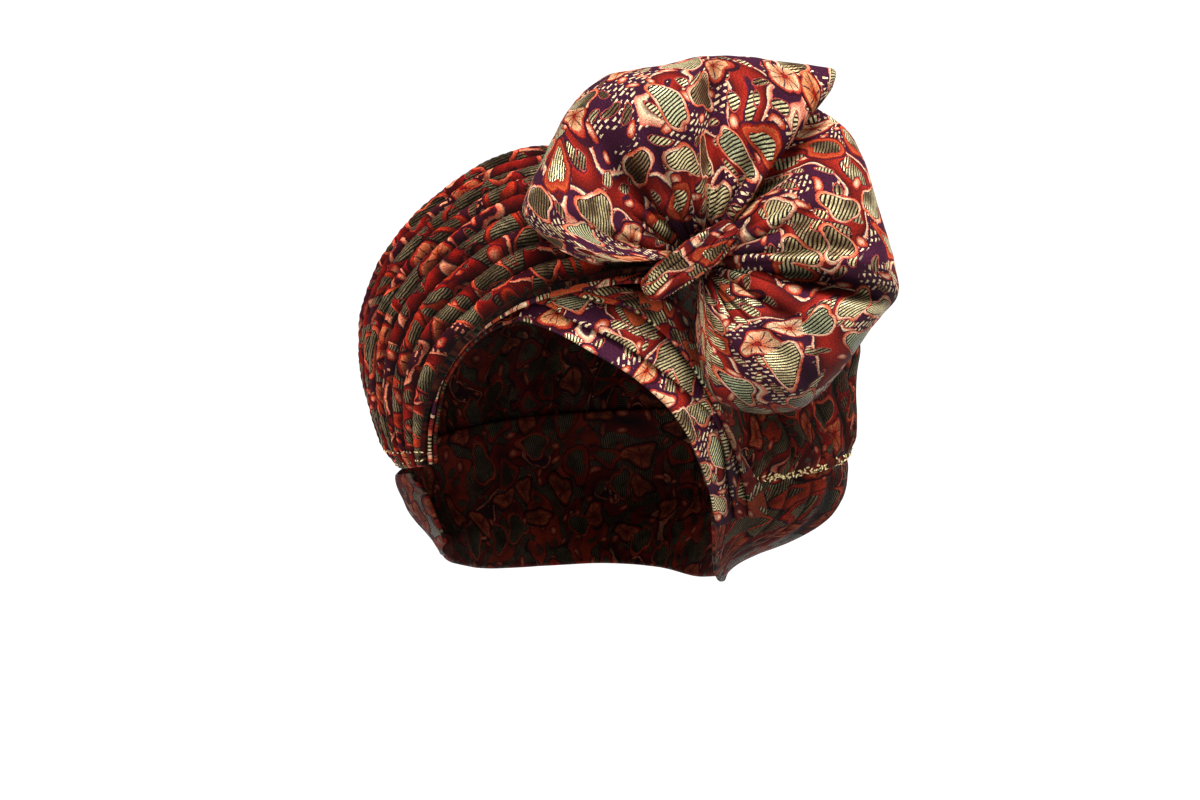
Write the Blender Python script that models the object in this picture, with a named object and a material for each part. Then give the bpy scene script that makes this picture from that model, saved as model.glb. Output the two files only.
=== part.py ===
"""Tied gele head tie: thin cloth pieces laid over one head form.

Metres, +Z up. The origin is the middle of the head at the level of the brow, -Y is the face side and
+X is the wearer's left, where the knot and the bow sit.
"""

import math

import bmesh
import bpy
import numpy as np

# Head form: the size of head that the tie fits
HEAD_BREADTH = 0.150
HEAD_LENGTH = 0.188
HEAD_CROWN_HEIGHT = 0.105
HEAD_NAPE_DROP = 0.130

# Cloth walls and the gaps between layers
CLOTH_WALL = 0.0016
BAG_WALL = 0.0018
LAYER_GAP = 0.0005
HEAD_EASE = 0.0010

# Crown bag and nape wrap. Shares run from an edge of the cloth to the bag's top or to the hem.
PUFF_DEPTH = 0.0575
GATHER_DEPTH = 0.0016
BAG_TOP_TURN = 180.0
BAG_TOP_RISE = 0.955
BAG_FIRST_SHARE = 0.012
BAG_LAST_SHARE = 0.97
EDGE_FULLNESS = 0.86
LAP_FADE_FROM = 0.10
LAP_FADE_TO = 0.35
LAP_ROUNDING = 0.2
NAPE_START = 0.012
NAPE_TUCK = 0.112

# Forehead folds: how far each runs on under the next, as a share of its own width
BAND_UNDERLAP = 0.25
FOLD_UNDERLAP = 0.15

# Pleat fan
PLEAT_COUNT = 9
PLEAT_ROLL = 0.40
PLEAT_CREASE = 0.97
FAN_STAND = 0.054
FAN_FOOT_BACK = 0.30
FAN_RIM_RADIUS = 0.0036
FAN_BELLY = 0.009
FAN_BACK_BELLY = 0.010
FAN_FULL_WIDTH = 0.110

# Bow
BOW_REACH = 0.100
BOW_TURN = 14.0
BOW_TIP = 10.0
UPPER_LOOP_MIDDLE = 117.0
LOWER_LOOP_MIDDLE = -23.0
LOOP_SPREAD = 0.0004
LOOP_NECK = 0.0065
LOOP_MOUTH = 0.0055
LOOP_ROUNDING = 0.95
LOOP_FULLNESS = 0.8
LOOP_FOLD_LENGTH = 0.30
FOLD_LIMIT = 0.45
WALL_LIMIT = 0.40
LEAN_FROM = 0.15
LEAN_TO = 0.60

# Knot
KNOT_TURN = 62.5
KNOT_RISE = 0.715
KNOT_STAND = 0.0251
KNOT_LENGTH = 0.052
KNOT_RADIUS = 0.0082
KNOT_FLATNESS = 0.8
KNOT_TAPER = 0.30
KNOT_OVER_NECK = 0.0234
KNOT_ASIDE = 0.0045
KNOT_BEND = 0.0035
KNOT_SLOPE = 36.87
KNOT_DIP = 5.7
KNOT_FOLDS = 5
KNOT_FOLD_DEPTH = 0.09
KNOT_TWIST = 3.0

# Lifts of the layers off the head form, from the inside out
BAG_LIFT = HEAD_EASE
LAP_LIFT = BAG_WALL + 2.6 * LAYER_GAP
BAND_LIFT = HEAD_EASE + BAG_WALL + 2 * LAYER_GAP
LAYER_STEP = CLOTH_WALL + LAYER_GAP

# Mesh steps
FAN_STEPS_ALONG = 20
FAN_STEPS_PER_PLEAT = 4
FAN_RIM_STEPS = 5
FAN_BACK_STEPS = 8
BAG_FACE_COLUMNS = 20
BAG_ROWS = 11
NAPE_COLUMNS = 27
NAPE_ROWS = 6
STRIP_STEPS = 24
HEM_STEPS = 30
STRIP_ROWS = 3
LOOP_COLUMNS = 26
LOOP_FRONT_STEPS = 9
LOOP_BACK_STEPS = 6
KNOT_STEPS = 10
KNOT_SIDES = 14

# Face edge of the tie as directions from the origin, from the right temple over the brow, down the
# left temple, round the nape and back. turn: degrees from the face towards the wearer's left.
# rise: height as a share of the crown height, or of the nape drop below the brow.
FACE_EDGE = [
    # turn, rise
    (-50.0, -0.04), (-51.5, 0.08), (-50.2, 0.19), (-49.0, 0.295), (-44.4, 0.401), (-39.7, 0.472),
    (-31.8, 0.548), (-20.7, 0.610), (-12.0, 0.630), (-3.0, 0.612), (5.4, 0.583), (19.0, 0.509),
    (31.2, 0.425), (39.9, 0.336), (46.3, 0.250), (52.4, 0.131), (56.8, 0.016), (61.4, -0.096),
]

# Seam between crown bag and nape wrap, from the left temple round the back to the right temple
SEAM = [
    # turn, rise
    (66.0, -0.14), (78.0, -0.13), (95.0, -0.10), (115.0, -0.06), (140.0, -0.05), (165.0, -0.08),
    (190.0, -0.10), (215.0, -0.10), (240.0, -0.10), (262.0, -0.11), (280.0, -0.12), (296.0, -0.08),
]

# Lower hem of the nape wrap, over the same run as the seam
NAPE_HEM = [
    # turn, rise
    (67.5, -0.26), (73.0, -0.40), (84.0, -0.49), (110.0, -0.54), (138.0, -0.60), (165.0, -0.60),
    (190.0, -0.60), (215.0, -0.60), (240.0, -0.58), (262.0, -0.53), (285.0, -0.44), (311.0, -0.31),
]

# Puffs of slack cloth: where the bag stands off the head, and by what share of PUFF_DEPTH
PUFFS = [
    # turn, rise, half turn, half rise, share of depth
    (121, 0.27, 34, 0.51, 1.08),
    (106, -0.15, 32, 0.34, 0.77),
    (180.0, 0.25, 62.0, 0.75, 0.45),
    (180.0, -0.30, 60.0, 0.36, 0.24),
    (-110.0, 0.20, 55.0, 0.70, 0.26),
    (-84.0, -0.18, 36.0, 0.24, 0.24),
]

# Forehead layers: four lines that run side by side from the middle of the brow to the left temple
BROW_LINES = [
    # rim turn, rim rise, first turn, first rise, second turn, second rise, third turn, third rise
    (-14.0, 0.632, -12.0, 0.690, -6.0, 0.735, 2.0, 0.775),
    (-3.0, 0.612, 0.0, 0.676, 8.0, 0.714, 18.0, 0.752),
    (8.0, 0.572, 11.0, 0.624, 21.0, 0.684, 32.0, 0.728),
    (19.0, 0.509, 25.0, 0.560, 34.0, 0.650, 46.0, 0.690),
    (31.2, 0.425, 36.0, 0.482, 45.0, 0.556, 56.0, 0.612),
    (39.9, 0.336, 46.0, 0.390, 52.5, 0.450, 59.5, 0.500),
    (46.3, 0.250, 53.5, 0.306, 58.0, 0.330, 60.5, 0.340),
    (52.4, 0.131, 61.0, 0.215, 62.5, 0.222, 64.0, 0.228),
    (56.8, 0.016, 65.8, 0.080, 67.6, 0.092, 70.0, 0.095),
    (61.4, -0.096, 68.6, -0.060, 72.6, -0.020, 76.5, -0.020),
    (64.2, -0.174, 72.4, -0.150, 77.0, -0.120, 82.0, -0.120),
    (67.0, -0.235, 76.0, -0.225, 79.5, -0.215, 83.5, -0.210),
]

# Inner hem strip: lower edge and upper edge from the right temple over the brow to the knot, and
# how much of the stack of forehead layers it lies over
HEM_LINES = [
    # lower turn, lower rise, upper turn, upper rise, share of stack
    (-50.0, -0.02, -54.5, -0.02, 0.0),
    (-51.5, 0.08, -56.0, 0.09, 0.0),
    (-50.2, 0.19, -54.5, 0.21, 0.0),
    (-49.0, 0.295, -53.0, 0.325, 0.0),
    (-44.4, 0.401, -48.0, 0.435, 0.0),
    (-39.7, 0.472, -42.5, 0.515, 0.0),
    (-31.8, 0.548, -33.5, 0.598, 0.16),
    (-20.7, 0.612, -22.0, 0.668, 0.60),
    (-11.0, 0.648, -12.0, 0.712, 1.0),
    (-3.0, 0.680, -3.5, 0.742, 1.0),
    (6.0, 0.702, 6.0, 0.765, 1.0),
    (18.0, 0.722, 19.0, 0.786, 1.0),
    (32.0, 0.735, 34.0, 0.798, 1.0),
    (46.0, 0.730, 50.0, 0.792, 1.0),
    (58.0, 0.716, 64.0, 0.772, 1.0),
]

# Fan: inner edge on the forehead layers, outer edge as directions and a share of FAN_STAND
FAN_STATIONS = [
    # inner turn, inner rise, share of stack, outer turn, outer rise, stand
    (-52.0, -0.03, 0.0, -77.0, -0.088, 0.370),
    (-52.5, 0.10, 0.0, -88.2, 0.054, 0.606),
    (-50.5, 0.23, 0.0, -91.3, 0.219, 0.804),
    (-46.5, 0.36, 0.0, -92.6, 0.382, 0.918),
    (-39.0, 0.485, 0.0, -94.4, 0.529, 0.942),
    (-27.0, 0.585, 0.17, -96.9, 0.657, 0.901),
    (-14.0, 0.655, 0.80, -100.3, 0.767, 0.842),
    (-2.0, 0.705, 1.0, -106.8, 0.872, 0.805),
    (12.0, 0.740, 1.0, -122.7, 0.950, 0.726),
    (27.0, 0.762, 1.0, -173.9, 0.984, 0.577),
    (41.0, 0.768, 1.0, 118.7, 0.965, 0.455),
    (53.0, 0.764, 1.0, 91.1, 0.899, 0.384),
    (62.0, 0.752, 1.0, 76.7, 0.818, 0.364),
]

# Bow loops: outline and fullness by angle in the plane of the bow, lengths as shares of BOW_REACH,
# and how many degrees the cloth leans over on its way out
UPPER_LOOP = [
    # angle, reach, rim, front, back, lean
    (52.5, 1.02, -0.02, 0.07, 0.03, 0.0),
    (54.5, 1.085, -0.02, 0.10, 0.04, 0.0),
    (59.0, 1.060, -0.03, 0.13, 0.07, 0.0),
    (69.0, 1.000, -0.04, 0.12, 0.12, 0.0),
    (79.0, 0.975, -0.05, 0.12, 0.16, 0.0),
    (86.5, 0.960, -0.05, 0.20, 0.18, 0.0),
    (93.0, 0.935, -0.05, 0.34, 0.18, 0.0),
    (99.5, 0.922, -0.06, 0.37, 0.18, 0.0),
    (109.0, 0.935, -0.06, 0.38, 0.18, 0.0),
    (118.0, 0.958, -0.06, 0.36, 0.16, 0.0),
    (131.0, 0.922, -0.03, 0.30, 0.12, 0.0),
    (140.0, 0.882, 0.01, 0.30, 0.06, 0.0),
    (148.0, 0.858, 0.05, 0.32, 0.00, 0.0),
    (160.0, 0.852, 0.11, 0.32, -0.08, 0.0),
    (166.0, 0.830, 0.14, 0.31, -0.14, 0.0),
    (172.0, 0.715, 0.16, 0.30, -0.17, 0.0),
    (177.0, 0.615, 0.17, 0.30, -0.20, 0.0),
    (182.0, 0.490, 0.17, 0.29, -0.21, 0.0),
]
LOWER_LOOP = [
    # angle, reach, rim, front, back, lean
    (-95.5, 0.300, 0.17, 0.09, 0.00, 0.0),
    (-91.0, 0.455, 0.18, 0.13, -0.01, 0.0),
    (-85.5, 0.620, 0.18, 0.17, -0.02, 0.0),
    (-75.0, 0.708, 0.16, 0.23, 0.00, 0.0),
    (-63.5, 0.772, 0.10, 0.30, 0.04, 0.0),
    (-56.5, 0.812, 0.05, 0.33, 0.06, 0.0),
    (-44.0, 0.820, -0.02, 0.34, 0.10, 0.0),
    (-33.0, 0.828, -0.06, 0.33, 0.13, 0.0),
    (-22.0, 0.845, -0.09, 0.30, 0.15, 0.0),
    (-15.0, 0.885, -0.10, 0.27, 0.16, 0.0),
    (-8.5, 0.932, -0.10, 0.22, 0.16, 0.0),
    (0.5, 0.900, -0.11, 0.28, 0.17, 0.0),
    (11.0, 0.875, -0.12, 0.33, 0.17, 0.0),
    (22.5, 0.870, -0.12, 0.34, 0.17, 0.0),
    (33.0, 0.896, -0.11, 0.31, 0.16, 0.0),
    (41.0, 0.925, -0.11, 0.20, 0.15, 0.0),
    (45.5, 0.925, -0.12, 0.04, 0.17, 1.0),
    (48.5, 0.915, -0.13, -0.05, 0.17, 3.0),
    (51.5, 0.905, -0.13, -0.08, 0.16, 6.0),
]

# Folds that run out from the knot: angle and half width in degrees, depth as a share of BOW_REACH,
# and how far out they are deepest, as a share of the reach there
UPPER_FOLDS = [
    (131.0, 9.0, -0.070, 0.45), (154.0, 8.0, -0.045, 0.30), (112.0, 6.0, -0.040, 0.25),
    (99.0, 5.0, -0.035, 0.30), (78.0, 4.0, 0.045, 0.55), (62.0, 4.5, -0.040, 0.40),
    (168.0, 5.0, -0.035, 0.35),
]
LOWER_FOLDS = [
    (-9.5, 5.0, -0.110, 0.60), (0.0, 4.5, 0.040, 0.45), (22.0, 6.0, -0.040, 0.30),
    (36.0, 5.0, -0.040, 0.35), (-35.0, 7.0, -0.050, 0.35), (-60.0, 8.0, -0.050, 0.40),
    (-80.0, 5.0, -0.035, 0.45),
]

# Plain cloth colour of each piece
COLOURS = {
    "crown_bag": (0.30, 0.05, 0.03),
    "nape_wrap": (0.34, 0.06, 0.03),
    "pleat_fan": (0.38, 0.10, 0.05),
    "brow_hem": (0.42, 0.08, 0.05),
    "brow_band": (0.55, 0.30, 0.14),
    "brow_fold_lower": (0.48, 0.24, 0.10),
    "brow_fold_upper": (0.44, 0.13, 0.06),
    "knot": (0.50, 0.32, 0.12),
    "bow_loop_upper": (0.45, 0.16, 0.08),
    "bow_loop_lower": (0.47, 0.18, 0.09),
}


def table_at(rows, shares):
    """Smooth values of a table at shares 0 to 1 of its length, by Catmull-Rom."""
    rows = np.array(rows, float)
    last = len(rows) - 1
    place = np.clip(np.asarray(shares, float), 0, 1) * last
    low = np.minimum(place.astype(int), last - 1)
    t = (place - low)[..., None]
    p0, p1 = rows[np.maximum(low - 1, 0)], rows[low]
    p2, p3 = rows[low + 1], rows[np.minimum(low + 2, last)]
    return 0.5 * (
        2 * p1 + (p2 - p0) * t + (2 * p0 - 5 * p1 + 4 * p2 - p3) * t**2
        + (3 * p1 - p0 - 3 * p2 + p3) * t**3
    )


def direction(turn, rise):
    turn = np.radians(turn)
    level = np.sqrt(np.maximum(0, 1 - np.asarray(rise) ** 2))
    return np.stack([np.sin(turn) * level, -np.cos(turn) * level, rise + 0 * turn], axis=-1)


def unit(v):
    return v / np.maximum(np.linalg.norm(v, axis=-1, keepdims=True), 1e-12)


def half_axes(z):
    return np.stack(
        [HEAD_BREADTH / 2 + 0 * z, HEAD_LENGTH / 2 + 0 * z,
         np.where(z >= 0, HEAD_CROWN_HEIGHT, HEAD_NAPE_DROP)], axis=-1
    )


def on_head(way, lift):
    """The place in direction `way` that stands `lift` off the head form."""
    return way * (half_axes(way[..., 2]) + np.asarray(lift)[..., None])


def off_head(place):
    """The direction and the lift of each place: on_head undone."""
    axes = half_axes(place[..., 2])
    low = np.full(place.shape[:-1], -0.05)
    high = np.full(place.shape[:-1], 0.25)
    for _ in range(34):
        middle = (low + high) / 2
        outside = (place**2 / (axes + middle[..., None]) ** 2).sum(-1) > 1
        low, high = np.where(outside, middle, low), np.where(outside, high, middle)
    return place / (axes + low[..., None]), low


def cleared(place, least):
    """Places pushed out so that none is nearer to the head form than `least`."""
    way, lift = off_head(place)
    return on_head(unit(way), np.maximum(lift, least))


def step(x, low, high):
    t = np.clip((x - low) / (high - low), 0, 1)
    return t * t * (3 - 2 * t)


def puffed(way):
    """How far the slack cloth stands off the head in a direction."""
    turn = np.degrees(np.arctan2(way[..., 0], -way[..., 1]))
    out = np.zeros(way.shape[:-1])
    for at_turn, at_rise, half_turn, half_rise, depth in PUFFS:
        across = np.abs((turn - at_turn + 180) % 360 - 180) / half_turn
        up = np.abs(way[..., 2] - at_rise) / half_rise
        out = out + depth * PUFF_DEPTH * (
            np.cos(np.minimum(across, 1) * math.pi / 2) ** 2
            * np.cos(np.minimum(up, 1) * math.pi / 2) ** 1.5
        )
    return out


def slerp(a, b, t):
    angle = np.arccos(np.clip((a * b).sum(-1), -1, 1))[..., None]
    t = np.asarray(t)[..., None]
    return (np.sin((1 - t) * angle) * a + np.sin(t * angle) * b) / np.sin(angle)


def sheet(name, outer, inner, ring=False):
    """A closed thin solid from two grids of places; with ring the first index runs round."""
    rows, columns = outer.shape[:2]
    mesh = bmesh.new()
    sides = [[[mesh.verts.new(p) for p in line] for line in grid] for grid in (outer, inner)]
    top, bottom = sides
    last = rows if ring else rows - 1
    for i in range(last):
        k = (i + 1) % rows
        for j in range(columns - 1):
            mesh.faces.new((top[i][j], top[k][j], top[k][j + 1], top[i][j + 1]))
            mesh.faces.new((bottom[i][j], bottom[i][j + 1], bottom[k][j + 1], bottom[k][j]))
        for j in (0, columns - 1):
            mesh.faces.new((top[i][j], top[k][j], bottom[k][j], bottom[i][j]))
    if not ring:
        for i in (0, rows - 1):
            for j in range(columns - 1):
                mesh.faces.new((top[i][j], top[i][j + 1], bottom[i][j + 1], bottom[i][j]))
    return place_object(name, mesh)


def place_object(name, mesh):
    bmesh.ops.triangulate(mesh, faces=mesh.faces[:])
    bmesh.ops.recalc_face_normals(mesh, faces=mesh.faces[:])
    data = bpy.data.meshes.new(name)
    mesh.to_mesh(data)
    mesh.free()
    piece = bpy.data.objects.new(name, data)
    bpy.context.scene.collection.objects.link(piece)
    material = bpy.data.materials.new(name)
    material.use_nodes = True
    shader = next(n for n in material.node_tree.nodes if n.type == "BSDF_PRINCIPLED")
    shader.inputs["Base Color"].default_value = (*COLOURS[name], 1)
    shader.inputs["Roughness"].default_value = 0.6
    data.materials.append(material)
    return piece


def grid_normals(grid):
    return unit(np.cross(np.gradient(grid, axis=0), np.gradient(grid, axis=1)))


def stacked(share):
    """Lift of what lies over this share of the three forehead layers."""
    return BAND_LIFT + 3 * LAYER_STEP * np.clip(share, 0, 1)


def lapped(turn):
    """Share of the full lap between bag and nape wrap: none under the forehead folds and the fan."""
    return step(turn, 80, 92) * (1 - step(turn, 255, 268))


def crown_bag():
    """Bag from the face edge and the seam up to a point on the crown."""
    face = table_at(FACE_EDGE, np.linspace(0, 1, BAG_FACE_COLUMNS))
    back = table_at(SEAM, np.linspace(0, 1, NAPE_COLUMNS))
    turn, rise = np.vstack([face, back]).T
    count = len(turn)
    on_seam = np.arange(count) >= BAG_FACE_COLUMNS
    rim = direction(turn, rise)
    top = direction(np.full(count, BAG_TOP_TURN), np.full(count, BAG_TOP_RISE))
    shares = np.linspace(BAG_FIRST_SHARE, BAG_LAST_SHARE, BAG_ROWS)
    way = unit(np.stack([slerp(rim, top, np.full(count, s)) for s in shares], axis=1))
    lap = on_seam * lapped(turn) ** LAP_ROUNDING
    lap = lap[:, None] * (1 - step(shares, LAP_FADE_FROM, LAP_FADE_TO))[None]
    fold = np.where(np.arange(count) % 2 == 0, 1.0, -1.0) * on_seam * lapped(turn)
    gathers = GATHER_DEPTH * fold[:, None] * (step(shares, 0.0, 0.1) * (1 - step(shares, 0.5, 0.95)))[None]
    fullness = EDGE_FULLNESS + (1 - EDGE_FULLNESS) * step(shares, 0.0, 0.2)
    lift = BAG_LIFT + LAP_LIFT * lap + puffed(way) * fullness + gathers
    lift = np.maximum(lift, BAG_LIFT)
    tip_lift = puffed(top[0]) + BAG_LIFT
    tips = on_head(top[0], tip_lift + BAG_WALL), on_head(top[0], tip_lift)
    return domed("crown_bag", on_head(way, lift + BAG_WALL), on_head(way, lift), tips)


def domed(name, outer, inner, tips):
    """A ring sheet whose last row closes to a point on each side."""
    mesh = bmesh.new()
    count, rows = outer.shape[:2]
    sides = [[[mesh.verts.new(p) for p in line] for line in grid] for grid in (outer, inner)]
    points = [mesh.verts.new(tip) for tip in tips]
    for i in range(count):
        k = (i + 1) % count
        for grid, point in zip(sides, points):
            for j in range(rows - 1):
                mesh.faces.new((grid[i][j], grid[k][j], grid[k][j + 1], grid[i][j + 1]))
            mesh.faces.new((grid[i][-1], grid[k][-1], point))
        mesh.faces.new((sides[0][i][0], sides[0][k][0], sides[1][k][0], sides[1][i][0]))
    return place_object(name, mesh)


def nape_wrap():
    """Band below the seam, from the left temple round the nape to the right temple."""
    columns = np.linspace(0, 1, NAPE_COLUMNS)
    turn, rise = table_at(SEAM, columns).T
    high = direction(turn, rise)
    low = direction(*table_at(NAPE_HEM, columns).T)
    shares = np.linspace(0, 1, NAPE_ROWS)
    start = NAPE_START - NAPE_TUCK * lapped(turn)
    way = unit(np.stack([slerp(high, low, start + (1 - start) * t) for t in shares], axis=1))
    fullness = EDGE_FULLNESS + (1 - EDGE_FULLNESS) * step(shares, 0.05, 0.4)
    lift = BAG_LIFT + puffed(way) * fullness[None]
    return sheet("nape_wrap", on_head(way, lift + BAG_WALL), on_head(way, lift))


def strip(name, low, high, lift):
    """A flat fold laid on the head form between two lines of directions."""
    shares = np.linspace(0, 1, STRIP_ROWS)
    way = unit(np.stack([slerp(low, high, np.full(len(low), t)) for t in shares], axis=1))
    lift = np.broadcast_to(lift, len(low))[:, None] + puffed(way)
    return sheet(name, on_head(way, lift + CLOTH_WALL), on_head(way, lift))


def brow_strips():
    """Three folds over the left brow, each over the last, and the hem strip along the fan's foot."""
    lines = table_at(BROW_LINES, np.linspace(0, 1, STRIP_STEPS))
    rim, first, second, third = (direction(lines[:, 2 * k], lines[:, 2 * k + 1]) for k in range(4))
    band_top = slerp(rim, first, np.full(STRIP_STEPS, 1 + BAND_UNDERLAP))
    fold_top = slerp(first, second, np.full(STRIP_STEPS, 1 + FOLD_UNDERLAP))
    strip("brow_band", rim, band_top, BAND_LIFT)
    strip("brow_fold_lower", first, fold_top, BAND_LIFT + LAYER_STEP)
    strip("brow_fold_upper", second, third, BAND_LIFT + 2 * LAYER_STEP)
    hem = table_at(HEM_LINES, np.linspace(0, 1, HEM_STEPS))
    lower = direction(hem[:, 0], hem[:, 1])
    upper = direction(hem[:, 2], hem[:, 3])
    strip("brow_hem", lower, upper, stacked(hem[:, 4]))


def tangent_angle(to_foot, edge_normal, onward):
    """How far the halo edge turns over before it runs straight to the fan's foot."""
    facing = (to_foot * edge_normal).sum(-1)
    ahead = (to_foot * onward).sum(-1)
    aim = np.arctan2(ahead, facing) % (2 * math.pi)
    return (aim - np.arccos(FAN_RIM_RADIUS / np.hypot(facing, ahead)))[:, None]


def pleat_fan():
    """Front sheet rolled into pleats, turned over at the halo edge, and a plain back sheet."""
    shares = np.linspace(0, 1, FAN_STEPS_ALONG)
    rows = table_at(FAN_STATIONS, shares)
    stations = np.array(FAN_STATIONS)
    least = stacked(rows[:, 2]) + LAYER_STEP + 2 * LAYER_GAP
    start = on_head(direction(rows[:, 0], rows[:, 1]), least)
    halo_way = unit(table_at(direction(stations[:, 3], stations[:, 4]), shares))
    halo = on_head(halo_way, rows[:, 5] * FAN_STAND)
    foot_way = unit(halo_way + np.array([0.0, FAN_FOOT_BACK, 0.0]))
    foot = on_head(foot_way, puffed(foot_way) + BAG_LIFT + BAG_WALL + 3 * LAYER_GAP)
    width = np.linalg.norm(halo - start, axis=1)[:, None]
    fullness = np.minimum(1, width / FAN_FULL_WIDTH)

    v = np.linspace(0, 1, PLEAT_COUNT * FAN_STEPS_PER_PLEAT + 1)
    flat = start[:, None] * (1 - v)[:, None] + halo[:, None] * v[:, None]
    normal = grid_normals(flat)
    across_pleat = 2 * ((v * PLEAT_COUNT) % 1) - 1
    roll = np.sqrt(1 - PLEAT_CREASE * across_pleat**2)
    height = FAN_BELLY * fullness * np.sin(v * math.pi) + PLEAT_ROLL * width / PLEAT_COUNT * roll
    front = flat + normal * height[..., None]
    front_in = cleared(front - normal * CLOTH_WALL, least[:, None] + 0 * v)
    front = cleared(front, least[:, None] + CLOTH_WALL + 0 * v)

    edge_normal = normal[:, -1]
    onward = unit(halo - start)
    onward = unit(onward - edge_normal * (onward * edge_normal).sum(-1, keepdims=True))
    hub = front[:, -1] - edge_normal * FAN_RIM_RADIUS
    turn_over = tangent_angle(foot - hub, edge_normal, onward)
    turned, turned_in = [], []
    for t in np.linspace(0, 1, FAN_RIM_STEPS + 1)[1:]:
        spoke = np.cos(turn_over * t) * edge_normal + np.sin(turn_over * t) * onward
        turned.append(hub + FAN_RIM_RADIUS * spoke)
        turned_in.append(hub + (FAN_RIM_RADIUS - CLOTH_WALL) * spoke)
    rim_end = turned[-1]
    for t in np.linspace(0, 1, FAN_BACK_STEPS + 1)[1:]:
        swell = FAN_BACK_BELLY * math.sin(t * math.pi) * fullness
        place = rim_end * (1 - t) + foot * t + spoke * swell
        turned.append(place)
        turned_in.append(place - spoke * CLOTH_WALL)

    back = np.stack(turned, axis=1)
    way, _ = off_head(back)
    turn = np.degrees(np.arctan2(way[..., 0], -way[..., 1])) % 360
    low = BAG_LIFT + BAG_WALL + LAP_LIFT * lapped(turn) ** LAP_ROUNDING + 2 * LAYER_GAP
    low = low + puffed(unit(way))
    back, back_in = cleared(back, low + CLOTH_WALL), cleared(np.stack(turned_in, axis=1), low)
    outer = np.concatenate([front, back], axis=1)
    return sheet("pleat_fan", outer, np.concatenate([front_in, back_in], axis=1))


def bow_frame():
    """Across, up and out of the plane of the bow."""
    turn, tip = math.radians(BOW_TURN), math.radians(BOW_TIP)
    across = np.array([math.cos(turn), math.sin(turn), 0.0])
    up = np.array([-math.sin(turn) * math.sin(tip), math.cos(turn) * math.sin(tip), math.cos(tip)])
    return across, up, np.cross(across, up)


def knot_spot():
    return on_head(direction(KNOT_TURN, KNOT_RISE), KNOT_STAND)


def bow_loop(name, table, folds, middle):
    """A hollow puffed loop, open at the knot: out in front, round the rim and back behind."""
    across, up, out = bow_frame()
    spread = math.radians(middle)
    centre = knot_spot() + LOOP_SPREAD * (math.cos(spread) * across + math.sin(spread) * up)
    rows = table_at(table, np.linspace(0, 1, LOOP_COLUMNS))
    going = np.linspace(0, 1, LOOP_FRONT_STEPS + 1)
    coming = np.linspace(1, 0, LOOP_BACK_STEPS + 1)[1:]
    steps = np.concatenate([going, coming])
    aim = np.radians(rows[:, :1] + rows[:, 5:] * step(steps, LEAN_FROM, LEAN_TO))[..., None]
    spoke = np.cos(aim) * across + np.sin(aim) * up
    surfaces = []
    for distance, height in loop_sections(rows, steps, folds):
        surfaces.append(centre + spoke * distance[..., None] + out * height[..., None])
    return sheet(name, *surfaces)


def loop_sections(rows, steps, folds):
    """Distance from the knot and height of the outer and the inner side, by angle and step."""
    angle, reach, rim, front, back = rows[:, :5].T[..., None]
    turned = LOOP_FRONT_STEPS
    in_front = np.arange(len(steps)) <= turned
    outward = np.sin(steps * math.pi / 2) ** LOOP_ROUNDING
    run = reach * BOW_REACH - LOOP_NECK
    distance = LOOP_NECK + run * outward
    bulge = np.abs(np.sin(steps * math.pi)) ** LOOP_FULLNESS * BOW_REACH
    mouth = LOOP_MOUTH * (1 - steps) ** 2
    deepest = -FOLD_LIMIT * (front + back) * bulge
    sunk = np.maximum(fold_height(angle, distance / (reach * BOW_REACH), folds), deepest)
    height = np.where(in_front, front * bulge + mouth + sunk, -back * bulge - mouth)
    height = height + rim * BOW_REACH * steps**2

    inner_distance = LOOP_NECK + (run - CLOTH_WALL) * outward
    over, under = np.empty_like(height), np.empty_like(height)
    for k, at in enumerate(inner_distance):
        over[k] = np.interp(at, distance[k, : turned + 1], height[k, : turned + 1])
        under[k] = np.interp(at, distance[k, turned:][::-1], height[k, turned:][::-1])
    wall = np.minimum(CLOTH_WALL, WALL_LIMIT * (over - under))
    inner_height = np.where(in_front, over - wall, under + wall)
    inner_height[:, turned] = (over + under)[:, turned] / 2
    return (distance, height), (inner_distance, inner_height)


def fold_height(angle, share, folds):
    """How far the folds raise or sink the cloth at each angle and share of the reach."""
    height = 0.0
    for at, half, depth, peak in folds:
        beside = np.exp(-(((angle - at) / half) ** 2))
        along = np.exp(-(((share - peak) / LOOP_FOLD_LENGTH) ** 2))
        height = height + depth * BOW_REACH * beside * along
    return height


def knot():
    """Twisted roll, fat in the middle, laid over the neck of the bow."""
    across, up, out = bow_frame()
    slope, dip = math.radians(KNOT_SLOPE), math.radians(KNOT_DIP)
    along = math.cos(slope) * across + math.sin(slope) * up
    along = math.cos(dip) * along - math.sin(dip) * out
    side = unit(np.cross(out, along))
    over = np.cross(along, side)
    middle = knot_spot() + KNOT_OVER_NECK * out - KNOT_ASIDE * across
    mesh = bmesh.new()
    rings = []
    for t in np.linspace(0, 1, KNOT_STEPS + 1):
        at = middle + along * KNOT_LENGTH * (t - 0.5) - over * KNOT_BEND * (2 * t - 1) ** 2
        radius = KNOT_RADIUS * (1 - KNOT_TAPER + KNOT_TAPER * math.sin(t * math.pi))
        ring = []
        for a in np.linspace(0, 2 * math.pi, KNOT_SIDES, endpoint=False):
            r = radius * (1 + KNOT_FOLD_DEPTH * math.cos(KNOT_FOLDS * a + KNOT_TWIST * t))
            spoke = math.cos(a) * side + KNOT_FLATNESS * math.sin(a) * over
            ring.append(mesh.verts.new(at + r * spoke))
        rings.append(ring)
    for a, b in zip(rings, rings[1:]):
        for k in range(KNOT_SIDES):
            n = (k + 1) % KNOT_SIDES
            mesh.faces.new((a[k], a[n], b[n], b[k]))
    mesh.faces.new(rings[0])
    mesh.faces.new(rings[-1])
    return place_object("knot", mesh)


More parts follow.
